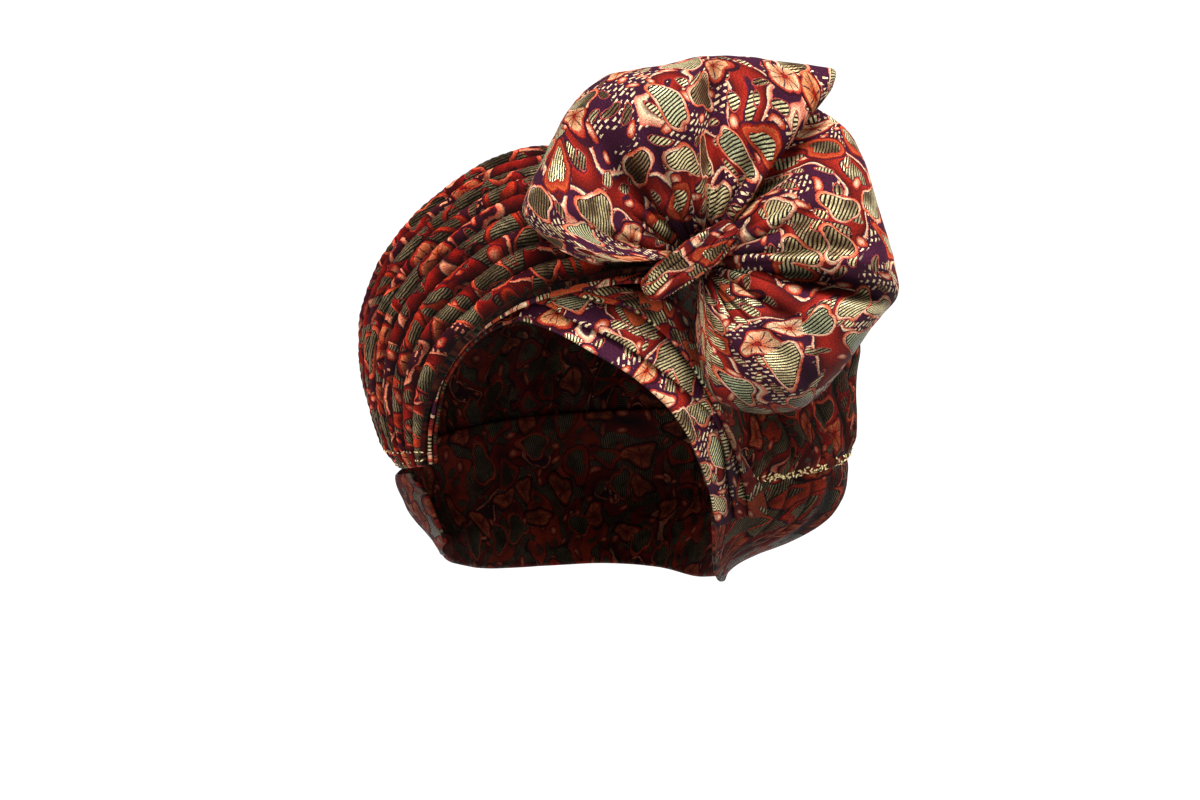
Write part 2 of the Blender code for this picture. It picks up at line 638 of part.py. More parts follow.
def main():
    for piece in list(bpy.data.objects):
        bpy.data.objects.remove(piece, do_unlink=True)
    crown_bag()
    nape_wrap()
    brow_strips()
    pleat_fan()
    bow_loop("bow_loop_upper", UPPER_LOOP, UPPER_FOLDS, UPPER_LOOP_MIDDLE)
    bow_loop("bow_loop_lower", LOWER_LOOP, LOWER_FOLDS, LOWER_LOOP_MIDDLE)
    knot()


main()
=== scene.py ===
"""Tied gele head tie: brocade cloth, pleats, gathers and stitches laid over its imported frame.

Metres, +Z up. The origin is the middle of the head at the level of the brow, -Y is the face side
and +X is the wearer's left, where the knot and the bow sit. Each cloth is laid between tables of
directions on the head form, and a node tree then raises its pleats, gathers and dents.
"""

import math

import bmesh
import bpy
import numpy as np
from bpy.props import FloatProperty, FloatVectorProperty, IntProperty, PointerProperty
from bpy.types import Operator, Panel, PropertyGroup
from mathutils import Matrix, Vector
from mathutils.bvhtree import BVHTree


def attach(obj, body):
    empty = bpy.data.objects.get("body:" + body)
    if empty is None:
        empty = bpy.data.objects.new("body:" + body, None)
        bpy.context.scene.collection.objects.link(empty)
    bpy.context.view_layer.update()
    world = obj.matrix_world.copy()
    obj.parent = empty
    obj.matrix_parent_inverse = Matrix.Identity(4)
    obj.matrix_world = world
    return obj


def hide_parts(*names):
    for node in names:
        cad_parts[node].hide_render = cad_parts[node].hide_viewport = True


bl_info = {
    "name": "Tied Gele",
    "version": (1, 0, 0),
    "blender": (4, 5, 0),
    "location": "3D View > Sidebar > Gele",
    "description": "Dresses a tied head tie in pleated and gathered brocade",
    "category": "Add Mesh",
}

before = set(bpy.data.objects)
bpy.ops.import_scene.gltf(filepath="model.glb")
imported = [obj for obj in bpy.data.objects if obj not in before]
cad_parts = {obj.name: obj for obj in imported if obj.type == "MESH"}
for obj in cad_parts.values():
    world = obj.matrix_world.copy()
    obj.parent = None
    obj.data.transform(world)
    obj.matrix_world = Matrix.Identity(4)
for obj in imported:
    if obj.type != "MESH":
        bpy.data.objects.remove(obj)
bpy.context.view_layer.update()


def length(name, default, description):
    return FloatProperty(
        name=name, default=default, description=description, unit="LENGTH", precision=4, min=0.0
    )


def share(name, default, description, most=4.0):
    return FloatProperty(name=name, default=default, description=description, min=-most, max=most)


def turn_of(name, default, description):
    """An angle, written in degrees and kept in radians."""
    return FloatProperty(
        name=name, default=math.radians(default), description=description, subtype="ANGLE"
    )


def dye(name, red, green, blue, description):
    """A colour, written in 8-bit display values and kept linear."""
    linear = [((c / 255 + 0.055) / 1.055) ** 2.4 for c in (red, green, blue)]
    return FloatVectorProperty(
        name=name, default=linear, description=description, subtype="COLOR", size=3, min=0, max=1
    )


class GeleHead(PropertyGroup):
    """The head form that the tie fits, and the slack cloth round it"""

    breadth: length("Head breadth", 0.150, "Breadth of the head form")
    depth: length("Head length", 0.188, "Length of the head form from face to back")
    crown: length("Crown height", 0.105, "Height of the crown over the brow")
    nape: length("Nape drop", 0.130, "Depth of the head form below the brow")
    ease: length("Ease", 0.0010, "Gap between head and cloth")
    bag_wall: length("Bag wall", 0.0018, "Thickness of the doubled cloth of the bag")
    cloth_wall: length("Cloth wall", 0.0016, "Thickness of the cloth in folds and bow")
    layer_gap: length("Layer gap", 0.0005, "Gap between layers")
    puff: length("Puff depth", 0.0575, "How far the fullest puff stands off the head")
    top_turn: turn_of("Bag top turn", 180.0, "Where the bag closes, from the face side")
    top_rise: share("Bag top rise", 0.955, "Where the bag closes, as a share of the crown")
    gathers: length("Gather depth", 0.0016, "Depth of the large gathers along the seam")
    cuff_swell: length("Cuff swell", 0.0045, "How far the right cuff swells below the fan's end")
    pleat_depth: length("Side pleat depth", 0.0028, "Depth of the fine pleats in the puff")
    pleat_count: IntProperty(name="Side pleats", default=84, description="Pleats in a full turn")


class GeleFan(PropertyGroup):
    """The pleats over the brow"""

    pleats: IntProperty(name="Pleats", default=9, min=3, max=20, description="Rolled pleats")
    roll: share("Pleat roll", 0.40, "Height of a pleat as a share of its width")
    crease: share("Crease", 0.97, "How deep the line between two pleats is, up to 1")
    stand: length("Fan stand", 0.054, "How far the halo edge stands off the head")
    foot_back: share("Foot set back", 0.30, "How far back the fan's foot lies from its edge")
    rim: length("Rim radius", 0.0036, "Radius of the turned halo edge")
    belly: length("Front belly", 0.009, "Outward swell of the front cloth")
    back_belly: length("Back belly", 0.010, "Outward swell of the back cloth")
    full_width: length("Full width", 0.110, "Width at which the belly is at its fullest")
    lean: share("Pleat lean", 0.30, "How far each pleat leans over the next")
    roundness: share("Roundness", 0.85, "How soon a pleat falls off, 0.5 for a half round")
    hidden: length("Hidden cloth", 0.017, "Cloth folded out of sight behind each pleat")
    tuck: share("Tuck", 0.22, "Share of its stand that the fan loses where it tucks under the cuff")
    sink: share("Sink", 0.35, "How much deeper than round the creases between pleats go")
    unevenness: share("Unevenness", 0.30, "How much one stretch of pleat differs from another")
    crimp: length("Crimp depth", 0.0002, "Depth of the small puckers across a pleat")
    crimp_pitch: length("Crimp pitch", 0.0045, "Distance between puckers")


class GeleBow(PropertyGroup):
    """The bow and its knot"""

    reach: length("Bow reach", 0.100, "Reach of the bow's cloth from the knot")
    turn: turn_of("Bow turn", 14.0, "Turn of the bow towards the wearer's left")
    tip: turn_of("Bow tip", 10.0, "Tilt of the bow back from upright")
    upper_middle: turn_of("Upper middle", 117.0, "Direction of the middle of the upper loop")
    lower_middle: turn_of("Lower middle", -23.0, "Direction of the middle of the lower loop")
    spread: length("Loop spread", 0.0004, "Distance of each loop from the knot's centre")
    neck: length("Neck", 0.0065, "Distance from the knot's centre where a loop starts")
    mouth: length("Mouth", 0.0055, "Half the opening of a loop at the knot")
    rounding: share("Rounding", 0.95, "How evenly the cloth runs out to the rim")
    fullness: share("Fullness", 0.8, "How round a loop's section is")
    fold_length: share("Fold length", 0.30, "How far along the reach a fold lasts")
    knot_turn: turn_of("Knot turn", 62.5, "Where the knot sits, from the face side")
    knot_rise: share("Knot rise", 0.715, "Where the knot sits, as a share of the crown")
    knot_stand: length("Knot stand", 0.0251, "How far the middle of the bow is off the head")
    knot_length: length("Knot length", 0.052, "Length of the knot's roll")
    knot_radius: length("Knot radius", 0.0082, "Radius of the knot's roll")
    knot_over: length("Knot over neck", 0.0234, "How far the knot is raised over the neck")
    knot_aside: length("Knot aside", 0.0045, "How far the knot lies to the right of the neck")
    knot_bend: length("Knot bend", 0.0035, "How far the knot's ends bend down")
    knot_slope: turn_of("Knot slope", 36.87, "Slope of the knot's roll")
    knot_dip: turn_of("Knot dip", 5.7, "How far the roll's outer end dips")
    gather_count: IntProperty(name="Gathers", default=34, description="Gathers in a full turn")
    gather_depth: length("Gather depth", 0.0030, "Depth of the gathers near the knot")
    crumple: length("Crumple", 0.0012, "Depth of the soft dents in the cloth")


class GeleCloth(PropertyGroup):
    """The brocade"""

    motif: length("Motif size", 0.026, "Distance between large motifs")
    bar_pitch: length("Bar pitch", 0.00160, "Distance between gold bars")
    twill_pitch: length("Twill pitch", 0.0010, "Distance between lines of the weave")
    dash_row: length("Dash row", 0.0024, "Distance between rows of dashes on the plum ground")
    dash_pitch: length("Dash pitch", 0.0052, "Distance between dashes in a row")
    stitch: length("Stitch length", 0.0030, "Length of a gold stitch")
    stitch_gap: length("Stitch gap", 0.0005, "Gap between stitches")
    stitch_thread: length("Stitch thread", 0.0008, "Thickness of a stitch")
    tack: length("Tack length", 0.0024, "Length of a bunched gold tack")
    tack_gap: length("Tack gap", 0.0002, "Gap between tacks")
    tack_thread: length("Tack thread", 0.0010, "Thickness of a tack")
    gold: dye("Gold", 255, 234, 176, "Bright gold thread")
    bronze: dye("Bronze", 40, 24, 18, "Dark ground between gold bars")
    plum: dye("Plum", 62, 22, 44, "Plum ground and outlines")
    red: dye("Red", 158, 36, 24, "Red cloth")
    deep: dye("Deep red", 84, 16, 14, "Deep red cloth")
    salmon: dye("Salmon", 220, 108, 88, "Salmon rims")
    cream: dye("Cream", 250, 220, 176, "Cream petals")
    mint: dye("Mint", 200, 214, 170, "Pale green ovals")
    orange: dye("Orange", 190, 82, 44, "Orange petals")


class GeleStage(PropertyGroup):
    """Floor, lights and camera"""

    floor_drop: length("Floor drop", 0.60, "How far the floor lies below the brow")
    camera_turn: turn_of("Camera turn", 14.0, "Camera's turn towards the wearer's left")
    camera_height: turn_of("Camera height", 10.0, "Camera's angle above the horizon")
    camera_distance: length("Camera distance", 1.30, "Distance of the camera")
    lens: FloatProperty(name="Lens", default=80.0, description="Focal length in mm", min=10)
    aim_across: length("Aim across", 0.0049, "How far the aim is right of the origin")
    aim_up: length("Aim up", 0.0190, "How far the aim is above the origin")
    key_power: share("Key light", 3.3, "Strength of the soft key light from above")
    key_width: turn_of("Key width", 20.0, "How wide the key light looks from the head tie")
    fill_power: share("Fill light", 0.35, "Strength of the weak light from the right")
    fill_width: turn_of("Fill width", 40.0, "How wide the fill light looks from the head tie")
    sky: share("Sky", 0.30, "Strength of the even light from all round")


class Gele(PropertyGroup):
    """All sizes and colours of the head tie"""

    head: PointerProperty(type=GeleHead)
    fan: PointerProperty(type=GeleFan)
    bow: PointerProperty(type=GeleBow)
    cloth: PointerProperty(type=GeleCloth)
    stage: PointerProperty(type=GeleStage)


def sizes():
    return bpy.context.scene.gele


# Face edge of the tie as directions from the origin, from the right temple over the brow, down the
# left temple, round the nape and back. turn: degrees from the face towards the wearer's left.
# rise: height as a share of the crown height, or of the nape drop below the brow.
FACE_EDGE = [
    # turn, rise
    (-50.0, -0.04), (-51.5, 0.08), (-50.2, 0.19), (-49.0, 0.295), (-44.4, 0.401), (-39.7, 0.472),
    (-31.8, 0.548), (-20.7, 0.610), (-12.0, 0.630), (-3.0, 0.612), (5.4, 0.583), (19.0, 0.509),
    (31.2, 0.425), (39.9, 0.336), (46.3, 0.250), (52.4, 0.131), (56.8, 0.016), (61.4, -0.096),
]

# Seam between crown bag and nape wrap, from the left temple round the back to the right temple
SEAM = [
    # turn, rise
    (66.0, -0.14), (78.0, -0.13), (95.0, -0.10), (115.0, -0.06), (140.0, -0.05), (165.0, -0.08),
    (190.0, -0.10), (215.0, -0.10), (240.0, -0.10), (262.0, -0.11), (280.0, -0.12), (296.0, -0.08),
]

# Lower hem of the nape wrap, over the same run as the seam
NAPE_HEM = [
    # turn, rise
    (67.5, -0.26), (73.0, -0.40), (84.0, -0.49), (110.0, -0.54), (138.0, -0.60), (165.0, -0.60),
    (190.0, -0.60), (215.0, -0.60), (240.0, -0.58), (262.0, -0.53), (285.0, -0.44), (311.0, -0.31),
]

# Puffs of slack cloth: where the bag stands off the head, and by what share of the puff depth
PUFFS = [
    # turn, rise, half turn, half rise, share of depth
    (121, 0.27, 34, 0.51, 1.08),
    (106, -0.15, 32, 0.34, 0.77),
    (180.0, 0.25, 62.0, 0.75, 0.45),
    (180.0, -0.30, 60.0, 0.36, 0.24),
    (-110.0, 0.20, 55.0, 0.70, 0.26),
    (-84.0, -0.18, 36.0, 0.24, 0.24),
]

# Forehead layers: four lines that run side by side from the middle of the brow to the left temple
BROW_LINES = [
    # rim turn, rim rise, first turn, first rise, second turn, second rise, third turn, third rise
    (-14.0, 0.632, -12.0, 0.690, -6.0, 0.735, 2.0, 0.775),
    (-3.0, 0.612, 0.0, 0.676, 8.0, 0.714, 18.0, 0.752),
    (8.0, 0.572, 11.0, 0.624, 21.0, 0.684, 32.0, 0.728),
    (19.0, 0.509, 25.0, 0.560, 34.0, 0.650, 46.0, 0.690),
    (31.2, 0.425, 36.0, 0.482, 45.0, 0.556, 56.0, 0.612),
    (39.9, 0.336, 46.0, 0.390, 52.5, 0.450, 59.5, 0.500),
    (46.3, 0.250, 53.5, 0.306, 58.0, 0.330, 60.5, 0.340),
    (52.4, 0.131, 61.0, 0.215, 62.5, 0.222, 64.0, 0.228),
    (56.8, 0.016, 65.8, 0.080, 67.6, 0.092, 70.0, 0.095),
    (61.4, -0.096, 68.6, -0.060, 72.6, -0.020, 76.5, -0.020),
    (64.2, -0.174, 72.4, -0.150, 77.0, -0.120, 82.0, -0.120),
    (67.0, -0.235, 76.0, -0.225, 79.5, -0.215, 83.5, -0.210),
]

# Inner hem strip: lower edge and upper edge from the right temple over the brow to the knot, and
# how much of the stack of forehead layers it lies over
HEM_LINES = [
    # lower turn, lower rise, upper turn, upper rise, share of stack
    (-50.0, -0.02, -54.5, -0.02, 0.0),
    (-51.5, 0.08, -56.0, 0.09, 0.0),
    (-50.2, 0.19, -54.5, 0.21, 0.0),
    (-49.0, 0.295, -53.0, 0.325, 0.0),
    (-44.4, 0.401, -48.0, 0.435, 0.0),
    (-39.7, 0.472, -42.5, 0.515, 0.0),
    (-31.8, 0.548, -33.5, 0.598, 0.16),
    (-20.7, 0.612, -22.0, 0.668, 0.60),
    (-11.0, 0.648, -12.0, 0.712, 1.0),
    (-3.0, 0.680, -3.5, 0.742, 1.0),
    (6.0, 0.702, 6.0, 0.765, 1.0),
    (18.0, 0.722, 19.0, 0.786, 1.0),
    (32.0, 0.735, 34.0, 0.798, 1.0),
    (46.0, 0.730, 50.0, 0.792, 1.0),
    (58.0, 0.716, 64.0, 0.772, 1.0),
]

# Fan: inner edge on the forehead layers, outer edge as directions and a share of the fan's stand
FAN_STATIONS = [
    # inner turn, inner rise, share of stack, outer turn, outer rise, stand
    (-52.0, -0.03, 0.0, -77.0, -0.088, 0.370),
    (-52.5, 0.10, 0.0, -88.2, 0.054, 0.606),
    (-50.5, 0.23, 0.0, -91.3, 0.219, 0.804),
    (-46.5, 0.36, 0.0, -92.6, 0.382, 0.918),
    (-39.0, 0.485, 0.0, -94.4, 0.529, 0.942),
    (-27.0, 0.585, 0.17, -96.9, 0.657, 0.901),
    (-14.0, 0.655, 0.80, -100.3, 0.767, 0.842),
    (-2.0, 0.705, 1.0, -106.8, 0.872, 0.805),
    (12.0, 0.740, 1.0, -122.7, 0.950, 0.726),
    (27.0, 0.762, 1.0, -173.9, 0.984, 0.577),
    (41.0, 0.768, 1.0, 118.7, 0.965, 0.455),
    (53.0, 0.764, 1.0, 91.1, 0.899, 0.384),
    (62.0, 0.752, 1.0, 76.7, 0.818, 0.364),
]

# Bow loops: outline and fullness by angle in the plane of the bow, lengths as shares of the bow's
# reach, and how many degrees the cloth leans over on its way out
UPPER_LOOP = [
    # angle, reach, rim, front, back, lean
    (52.5, 1.02, -0.02, 0.07, 0.03, 0.0),
    (54.5, 1.085, -0.02, 0.10, 0.04, 0.0),
    (59.0, 1.060, -0.03, 0.13, 0.07, 0.0),
    (69.0, 1.000, -0.04, 0.12, 0.12, 0.0),
    (79.0, 0.975, -0.05, 0.12, 0.16, 0.0),
    (86.5, 0.960, -0.05, 0.20, 0.18, 0.0),
    (93.0, 0.935, -0.05, 0.34, 0.18, 0.0),
    (99.5, 0.922, -0.06, 0.37, 0.18, 0.0),
    (109.0, 0.935, -0.06, 0.38, 0.18, 0.0),
    (118.0, 0.958, -0.06, 0.36, 0.16, 0.0),
    (131.0, 0.922, -0.03, 0.30, 0.12, 0.0),
    (140.0, 0.882, 0.01, 0.30, 0.06, 0.0),
    (148.0, 0.858, 0.05, 0.32, 0.00, 0.0),
    (160.0, 0.852, 0.11, 0.32, -0.08, 0.0),
    (166.0, 0.830, 0.14, 0.31, -0.14, 0.0),
    (172.0, 0.715, 0.16, 0.30, -0.17, 0.0),
    (177.0, 0.615, 0.17, 0.30, -0.20, 0.0),
    (182.0, 0.490, 0.17, 0.29, -0.21, 0.0),
]
LOWER_LOOP = [
    # angle, reach, rim, front, back, lean
    (-95.5, 0.300, 0.17, 0.09, 0.00, 0.0),
    (-91.0, 0.455, 0.18, 0.13, -0.01, 0.0),
    (-85.5, 0.620, 0.18, 0.17, -0.02, 0.0),
    (-75.0, 0.708, 0.16, 0.23, 0.00, 0.0),
    (-63.5, 0.772, 0.10, 0.30, 0.04, 0.0),
    (-56.5, 0.812, 0.05, 0.33, 0.06, 0.0),
    (-44.0, 0.820, -0.02, 0.34, 0.10, 0.0),
    (-33.0, 0.828, -0.06, 0.33, 0.13, 0.0),
    (-22.0, 0.845, -0.09, 0.30, 0.15, 0.0),
    (-15.0, 0.885, -0.10, 0.27, 0.16, 0.0),
    (-8.5, 0.932, -0.10, 0.22, 0.16, 0.0),
    (0.5, 0.900, -0.11, 0.28, 0.17, 0.0),
    (11.0, 0.875, -0.12, 0.33, 0.17, 0.0),
    (22.5, 0.870, -0.12, 0.34, 0.17, 0.0),
    (33.0, 0.896, -0.11, 0.31, 0.16, 0.0),
    (41.0, 0.925, -0.11, 0.20, 0.15, 0.0),
    (45.5, 0.925, -0.12, 0.04, 0.17, 1.0),
    (48.5, 0.915, -0.13, -0.05, 0.17, 3.0),
    (51.5, 0.905, -0.13, -0.08, 0.16, 6.0),
]

# Folds that run out from the knot, the large ones first: angle and half width in degrees, depth as
# a share of the bow's reach, and how far out they are deepest, as a share of the reach there
UPPER_FOLDS = [
    (131.0, 9.0, -0.070, 0.45), (154.0, 8.0, -0.045, 0.30), (112.0, 6.0, -0.040, 0.25),
    (99.0, 5.0, -0.035, 0.30), (78.0, 4.0, 0.045, 0.55), (62.0, 4.5, -0.040, 0.40),
    (168.0, 5.0, -0.035, 0.35),
    (86.0, 3.2, -0.060, 0.80), (94.0, 6.5, 0.030, 0.75), (71.0, 4.0, 0.024, 0.70),
    (112.0, 4.5, -0.022, 0.55), (124.0, 5.0, 0.020, 0.50), (146.0, 4.0, -0.026, 0.45),
    (158.0, 5.0, 0.020, 0.60), (60.0, 3.5, -0.020, 0.55),
]
LOWER_FOLDS = [
    (-9.5, 5.0, -0.110, 0.60), (0.0, 4.5, 0.040, 0.45), (22.0, 6.0, -0.040, 0.30),
    (36.0, 5.0, -0.040, 0.35), (-35.0, 7.0, -0.050, 0.35), (-60.0, 8.0, -0.050, 0.40),
    (-80.0, 5.0, -0.035, 0.45),
    (-11.0, 3.4, -0.060, 0.80), (-3.0, 4.4, 0.045, 0.70), (5.5, 3.8, -0.034, 0.55),
    (24.0, 5.0, -0.018, 0.50), (-34.0, 5.0, -0.022, 0.50), (-50.0, 4.5, -0.030, 0.60),
    (-60.0, 5.0, 0.028, 0.60), (-74.0, 4.0, -0.026, 0.55),
]

# Rows of gold along the seam between bag and nape wrap, as shares of the seam's run
BUNCHES = [
    # first, last, rise over the seam, seed
    (0.13, 0.165, -0.010, 11), (0.135, 0.17, -0.004, 12), (0.17, 0.20, 0.006, 13),
    (0.215, 0.245, 0.010, 14), (0.05, 0.075, -0.085, 15), (0.06, 0.08, -0.105, 16),
]
SEAM_ROWS = [
    # first, last, rise over the seam, seed
    (0.105, 0.20, 0.003, 3), (0.19, 0.30, -0.006, 4), (0.115, 0.24, -0.012, 5),
    (0.25, 0.40, 0.004, 6),
]
# Rows of the fan's cloth, counted from its far end, that gold stitches follow, with their seeds
FAN_ROWS = [(4, 7), (9, 8)]

# Finishes: which part of the pattern each cloth shows, and how it looks there; tone is painted
# light and shade, the same cloth brighter on lit pieces such as the loops and band and darker on
# shaded ones such as the bag and nape wrap
FINISHES = {
    # shift across, shift up, bar turn, plum share, gold share, scale, tone (painted light and
    # shade), warmth, wear
    "bag_brocade": (1.3, 4.2, 20.0, 0.45, 0.66, 1.25, 0.33, 1.0, 0.80),
    "nape_brocade": (6.1, 2.4, 80.0, 0.42, 0.58, 1.25, 0.34, 1.0, 0.80),
    "band_brocade": (2.7, 0.4, 60.0, 0.66, 0.35, 1.15, 1.45, 0.0, 0.0),
    "lower_fold_brocade": (8.3, 3.1, 115.0, 0.50, 0.95, 1.2, 1.15, 0.0, 0.0),
    "upper_fold_brocade": (4.9, 7.7, 30.0, 0.40, 0.60, 1.2, 1.0, 0.0, 0.0),
    "hem_brocade": (0.6, 9.2, 70.0, 0.38, 0.55, 1.3, 1.0, 0.0, 0.0),
    "fan_brocade": (3.3, 6.6, 4.0, 0.50, 0.70, 1.0, 1.12, 0.8, 0.82),
    "upper_loop_brocade": (5.4, 1.6, 62.0, 0.60, 0.76, 1.0, 1.38, 0.0, 0.0),
    "lower_loop_brocade": (9.8, 5.2, 118.0, 0.58, 0.80, 1.0, 1.42, 0.0, 0.0),
    "knot_brocade": (7.1, 8.8, 85.0, 0.45, 0.95, 0.9, 1.0, 0.3, 0.0),
}

# Steps of the finished cloth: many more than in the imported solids
FACE_STEPS = 80
SEAM_STEPS = ((0.0, 0.10, 14), (0.10, 0.42, 170), (0.42, 1.0, 96))
BAG_STEPS = 105
NAPE_STEPS = 56
STRIP_STEPS = 260
STRIP_ROWS = 22
FAN_STEPS = 240
PLEAT_STEPS = 14
RIM_STEPS = 8
BACK_STEPS = 40
LOOP_STEPS = 210
FRONT_STEPS = 100
BEHIND_STEPS = 50
KNOT_STEPS = 120
KNOT_SIDES = 150

# Where along a run something starts, is full, is full until, and ends
LAP = (80, 92, 255, 268)
SIDE_PLEATS = (82, 96, 150, 180)
BAG_PLEATS = (0.015, 0.05, 0.20, 0.46)
NAPE_PLEATS = (0.06, 0.16, 0.35, 0.75)
BAG_GATHERS = (0.0, 0.1, 0.5, 0.95)
LOOP_GATHERS = (0.05, 0.14, 0.16, 0.62)
LAP_FADE = (0.10, 0.35)
CUFF_TURNS, CUFF_FADE = (262, 284), (0.02, 0.30)

# How slack cloth folds: what fold_tree's inputs are in the bag and in the nape wrap
SLACK = {"Crease": 0.93, "Unevenness": 0.8, "Roundness": 0.8, "Dent_Depth": 0.0010}

# Lesser shares and lengths, in metres
LEAST_LIFT, MOST_LIFT, HALVINGS = -0.05, 0.25, 34
OUTSIDE = 0.30
LAP_GAPS = 2.6
LAP_SHARPNESS = 0.2
SEAM_WAVES = 13
BAG_START, BAG_END = 0.012, 0.985
NAPE_TUCK = 0.112
SEAM_FULLNESS = 0.86
BARELY = 1e-4
STRIP_CROWDING = 1.3
UNDER_FIRST, UNDER_SECOND = 1.25, 1.15
COVERED_SHADE, ASIDE_SHADE = 0.75, 0.62
HEM_WIDTH = 0.0030
HEM_HEIGHT = 0.0004
EDGE_ROUND = 0.35
EDGE_WRONG_SIDE = 0.3
KNOT_ROUND = 0.058
KNOT_FLATNESS = 0.8
KNOT_TWIST = 3.0
KNOT_ENDS = 0.70
BAND_EDGE = 0.004
PLUM_UNTIL = 0.43
TARNISH = (0.0495, 0.1925, 0.33)  # shares of gold, cream and bronze in the dull thread
TARNISH_TINT = (1.0, 0.86, 0.72)
BROWN_TINT = (0.72, 0.42, 0.26, 1)
WARM_TINT = (0.80, 0.34, 0.26, 1)
AGED_TINT = (1.25, 0.50, 0.38, 1)
YARN_GRAIN, BLOTCH_GRAIN, RUB_GRAIN = 1300.0, 55.0, 120.0
DARKEST_SHADE = 0.80
SWELL_GRAIN, SWELL_STEP = 28.0, 3.7
CRIMP_GRAIN, CRIMP_WANDER = 60.0, 14.0
DEEPEST_FOLD = 0.45
FLOOR_HALF = 60.0
FLOOR_WHITE = (0.86, 0.86, 0.86, 1)
SKY_WHITE = (1.0, 0.995, 0.985, 1)


def table_at(rows, shares):
    """Smooth values of a table at shares 0 to 1 of its length, by Catmull-Rom."""
    rows = np.array(rows, float)
    last = len(rows) - 1
    place = np.clip(np.asarray(shares, float), 0, 1) * last
    low = np.minimum(place.astype(int), last - 1)
    t = (place - low)[..., None]
    p0, p1 = rows[np.maximum(low - 1, 0)], rows[low]
    p2, p3 = rows[low + 1], rows[np.minimum(low + 2, last)]
    return 0.5 * (
        2 * p1 + (p2 - p0) * t + (2 * p0 - 5 * p1 + 4 * p2 - p3) * t**2
        + (3 * p1 - p0 - 3 * p2 + p3) * t**3
    )


def direction(turn, rise):
    turn = np.radians(turn)
    level = np.sqrt(np.maximum(0, 1 - np.asarray(rise) ** 2))
    return np.stack([np.sin(turn) * level, -np.cos(turn) * level, rise + 0 * turn], axis=-1)


def unit(v):
    return v / np.maximum(np.linalg.norm(v, axis=-1, keepdims=True), 1e-12)


def half_axes(z):
    head = sizes().head
    return np.stack(
        [head.breadth / 2 + 0 * z, head.depth / 2 + 0 * z, np.where(z >= 0, head.crown, head.nape)],
        axis=-1,
    )


def on_head(way, lift):
    """The place in direction `way` that stands `lift` off the head form."""
    return way * (half_axes(way[..., 2]) + np.asarray(lift)[..., None])


def off_head(place):
    """The direction and the lift of each place: on_head undone."""
    axes = half_axes(place[..., 2])
    low = np.full(place.shape[:-1], LEAST_LIFT)
    high = np.full(place.shape[:-1], MOST_LIFT)
    for _ in range(HALVINGS):
        middle = (low + high) / 2
        outside = (place**2 / (axes + middle[..., None]) ** 2).sum(-1) > 1
        low, high = np.where(outside, middle, low), np.where(outside, high, middle)
    return place / (axes + low[..., None]), low


def cleared(place, least):
    """Places pushed out so that none is nearer to the head form than `least`."""
    way, lift = off_head(place)
    return on_head(unit(way), np.maximum(lift, least))


def step(x, low, high):
    t = np.clip((x - low) / (high - low), 0, 1)
    return t * t * (3 - 2 * t)


def within(x, place):
    """1 inside a place, (start, full, full until, end), and 0 outside it."""
    start, full, until, end = place
    return step(x, start, full) * (1 - step(x, until, end))


def turn_at(way):
    return np.degrees(np.arctan2(way[..., 0], -way[..., 1]))


def puffed(way):
    """How far the slack cloth stands off the head in a direction."""
    out = np.zeros(way.shape[:-1])
    for at_turn, at_rise, half_turn, half_rise, depth in PUFFS:
        across = np.abs((turn_at(way) - at_turn + 180) % 360 - 180) / half_turn
        up = np.abs(way[..., 2] - at_rise) / half_rise
        out = out + depth * sizes().head.puff * (
            np.cos(np.minimum(across, 1) * math.pi / 2) ** 2
            * np.cos(np.minimum(up, 1) * math.pi / 2) ** 1.5
        )
    return out


def slerp(a, b, t):
    angle = np.arccos(np.clip((a * b).sum(-1), -1, 1))[..., None]
    t = np.asarray(t)[..., None]
    return (np.sin((1 - t) * angle) * a + np.sin(t * angle) * b) / np.sin(angle)


def between(low, high, shares):
    """Directions on the arcs from low to high, one row of them for each share."""
    count = len(low)
    return unit(np.stack([slerp(low, high, np.full(count, 1.0) * s) for s in shares], axis=1))


def grid_normals(grid):
    return unit(np.cross(np.gradient(grid, axis=0), np.gradient(grid, axis=1)))


def run_length(grid, axis):
    """Length of cloth from the first line of a grid to each point, along one axis."""
    steps = np.linalg.norm(np.diff(grid, axis=axis), axis=-1)
    start = np.zeros_like(np.take(steps, [0], axis=axis))
    return np.concatenate([start, np.cumsum(steps, axis=axis)], axis=axis)


def lap_lift():
    return sizes().head.bag_wall + LAP_GAPS * sizes().head.layer_gap


def over_bag(gaps):
    """Lift of what lies over the bag's wall, so many gaps away from it."""
    head = sizes().head
    return head.ease + head.bag_wall + gaps * head.layer_gap


def layer_step():
    return sizes().head.cloth_wall + sizes().head.layer_gap


def stacked(part):
    """Lift of what lies over this share of the three forehead layers."""
    return over_bag(2) + 3 * layer_step() * np.clip(part, 0, 1)


def lapped(turn):
    """Share of the full lap between bag and nape wrap."""
    return within(turn, LAP)


def along_seam():
    """Shares of the seam's run with a line of cloth each, closer together at the puff."""
    return np.concatenate([np.linspace(a, b, n, endpoint=b == 1.0) for a, b, n in SEAM_STEPS])


def from_seam(shares, start, end):
    """Share of its puff that cloth has on its way from the seam."""
    return SEAM_FULLNESS + (1 - SEAM_FULLNESS) * step(shares, start, end)


def wandering(angle, *waves):
    """Share of a full turn at each angle, made uneven by waves of (degrees, rate, start)."""
    return (angle + sum(size * np.sin(rate * angle + start) for size, rate, start in waves)) / 360


def laid_out(along, across, middle):
    """Flat places from the run along one middle line and the run across it."""
    return np.stack([along[:, middle, None] + 0 * across, across], axis=-1)


def head_facing(way):
    return unit(way / half_axes(way[..., 2]))


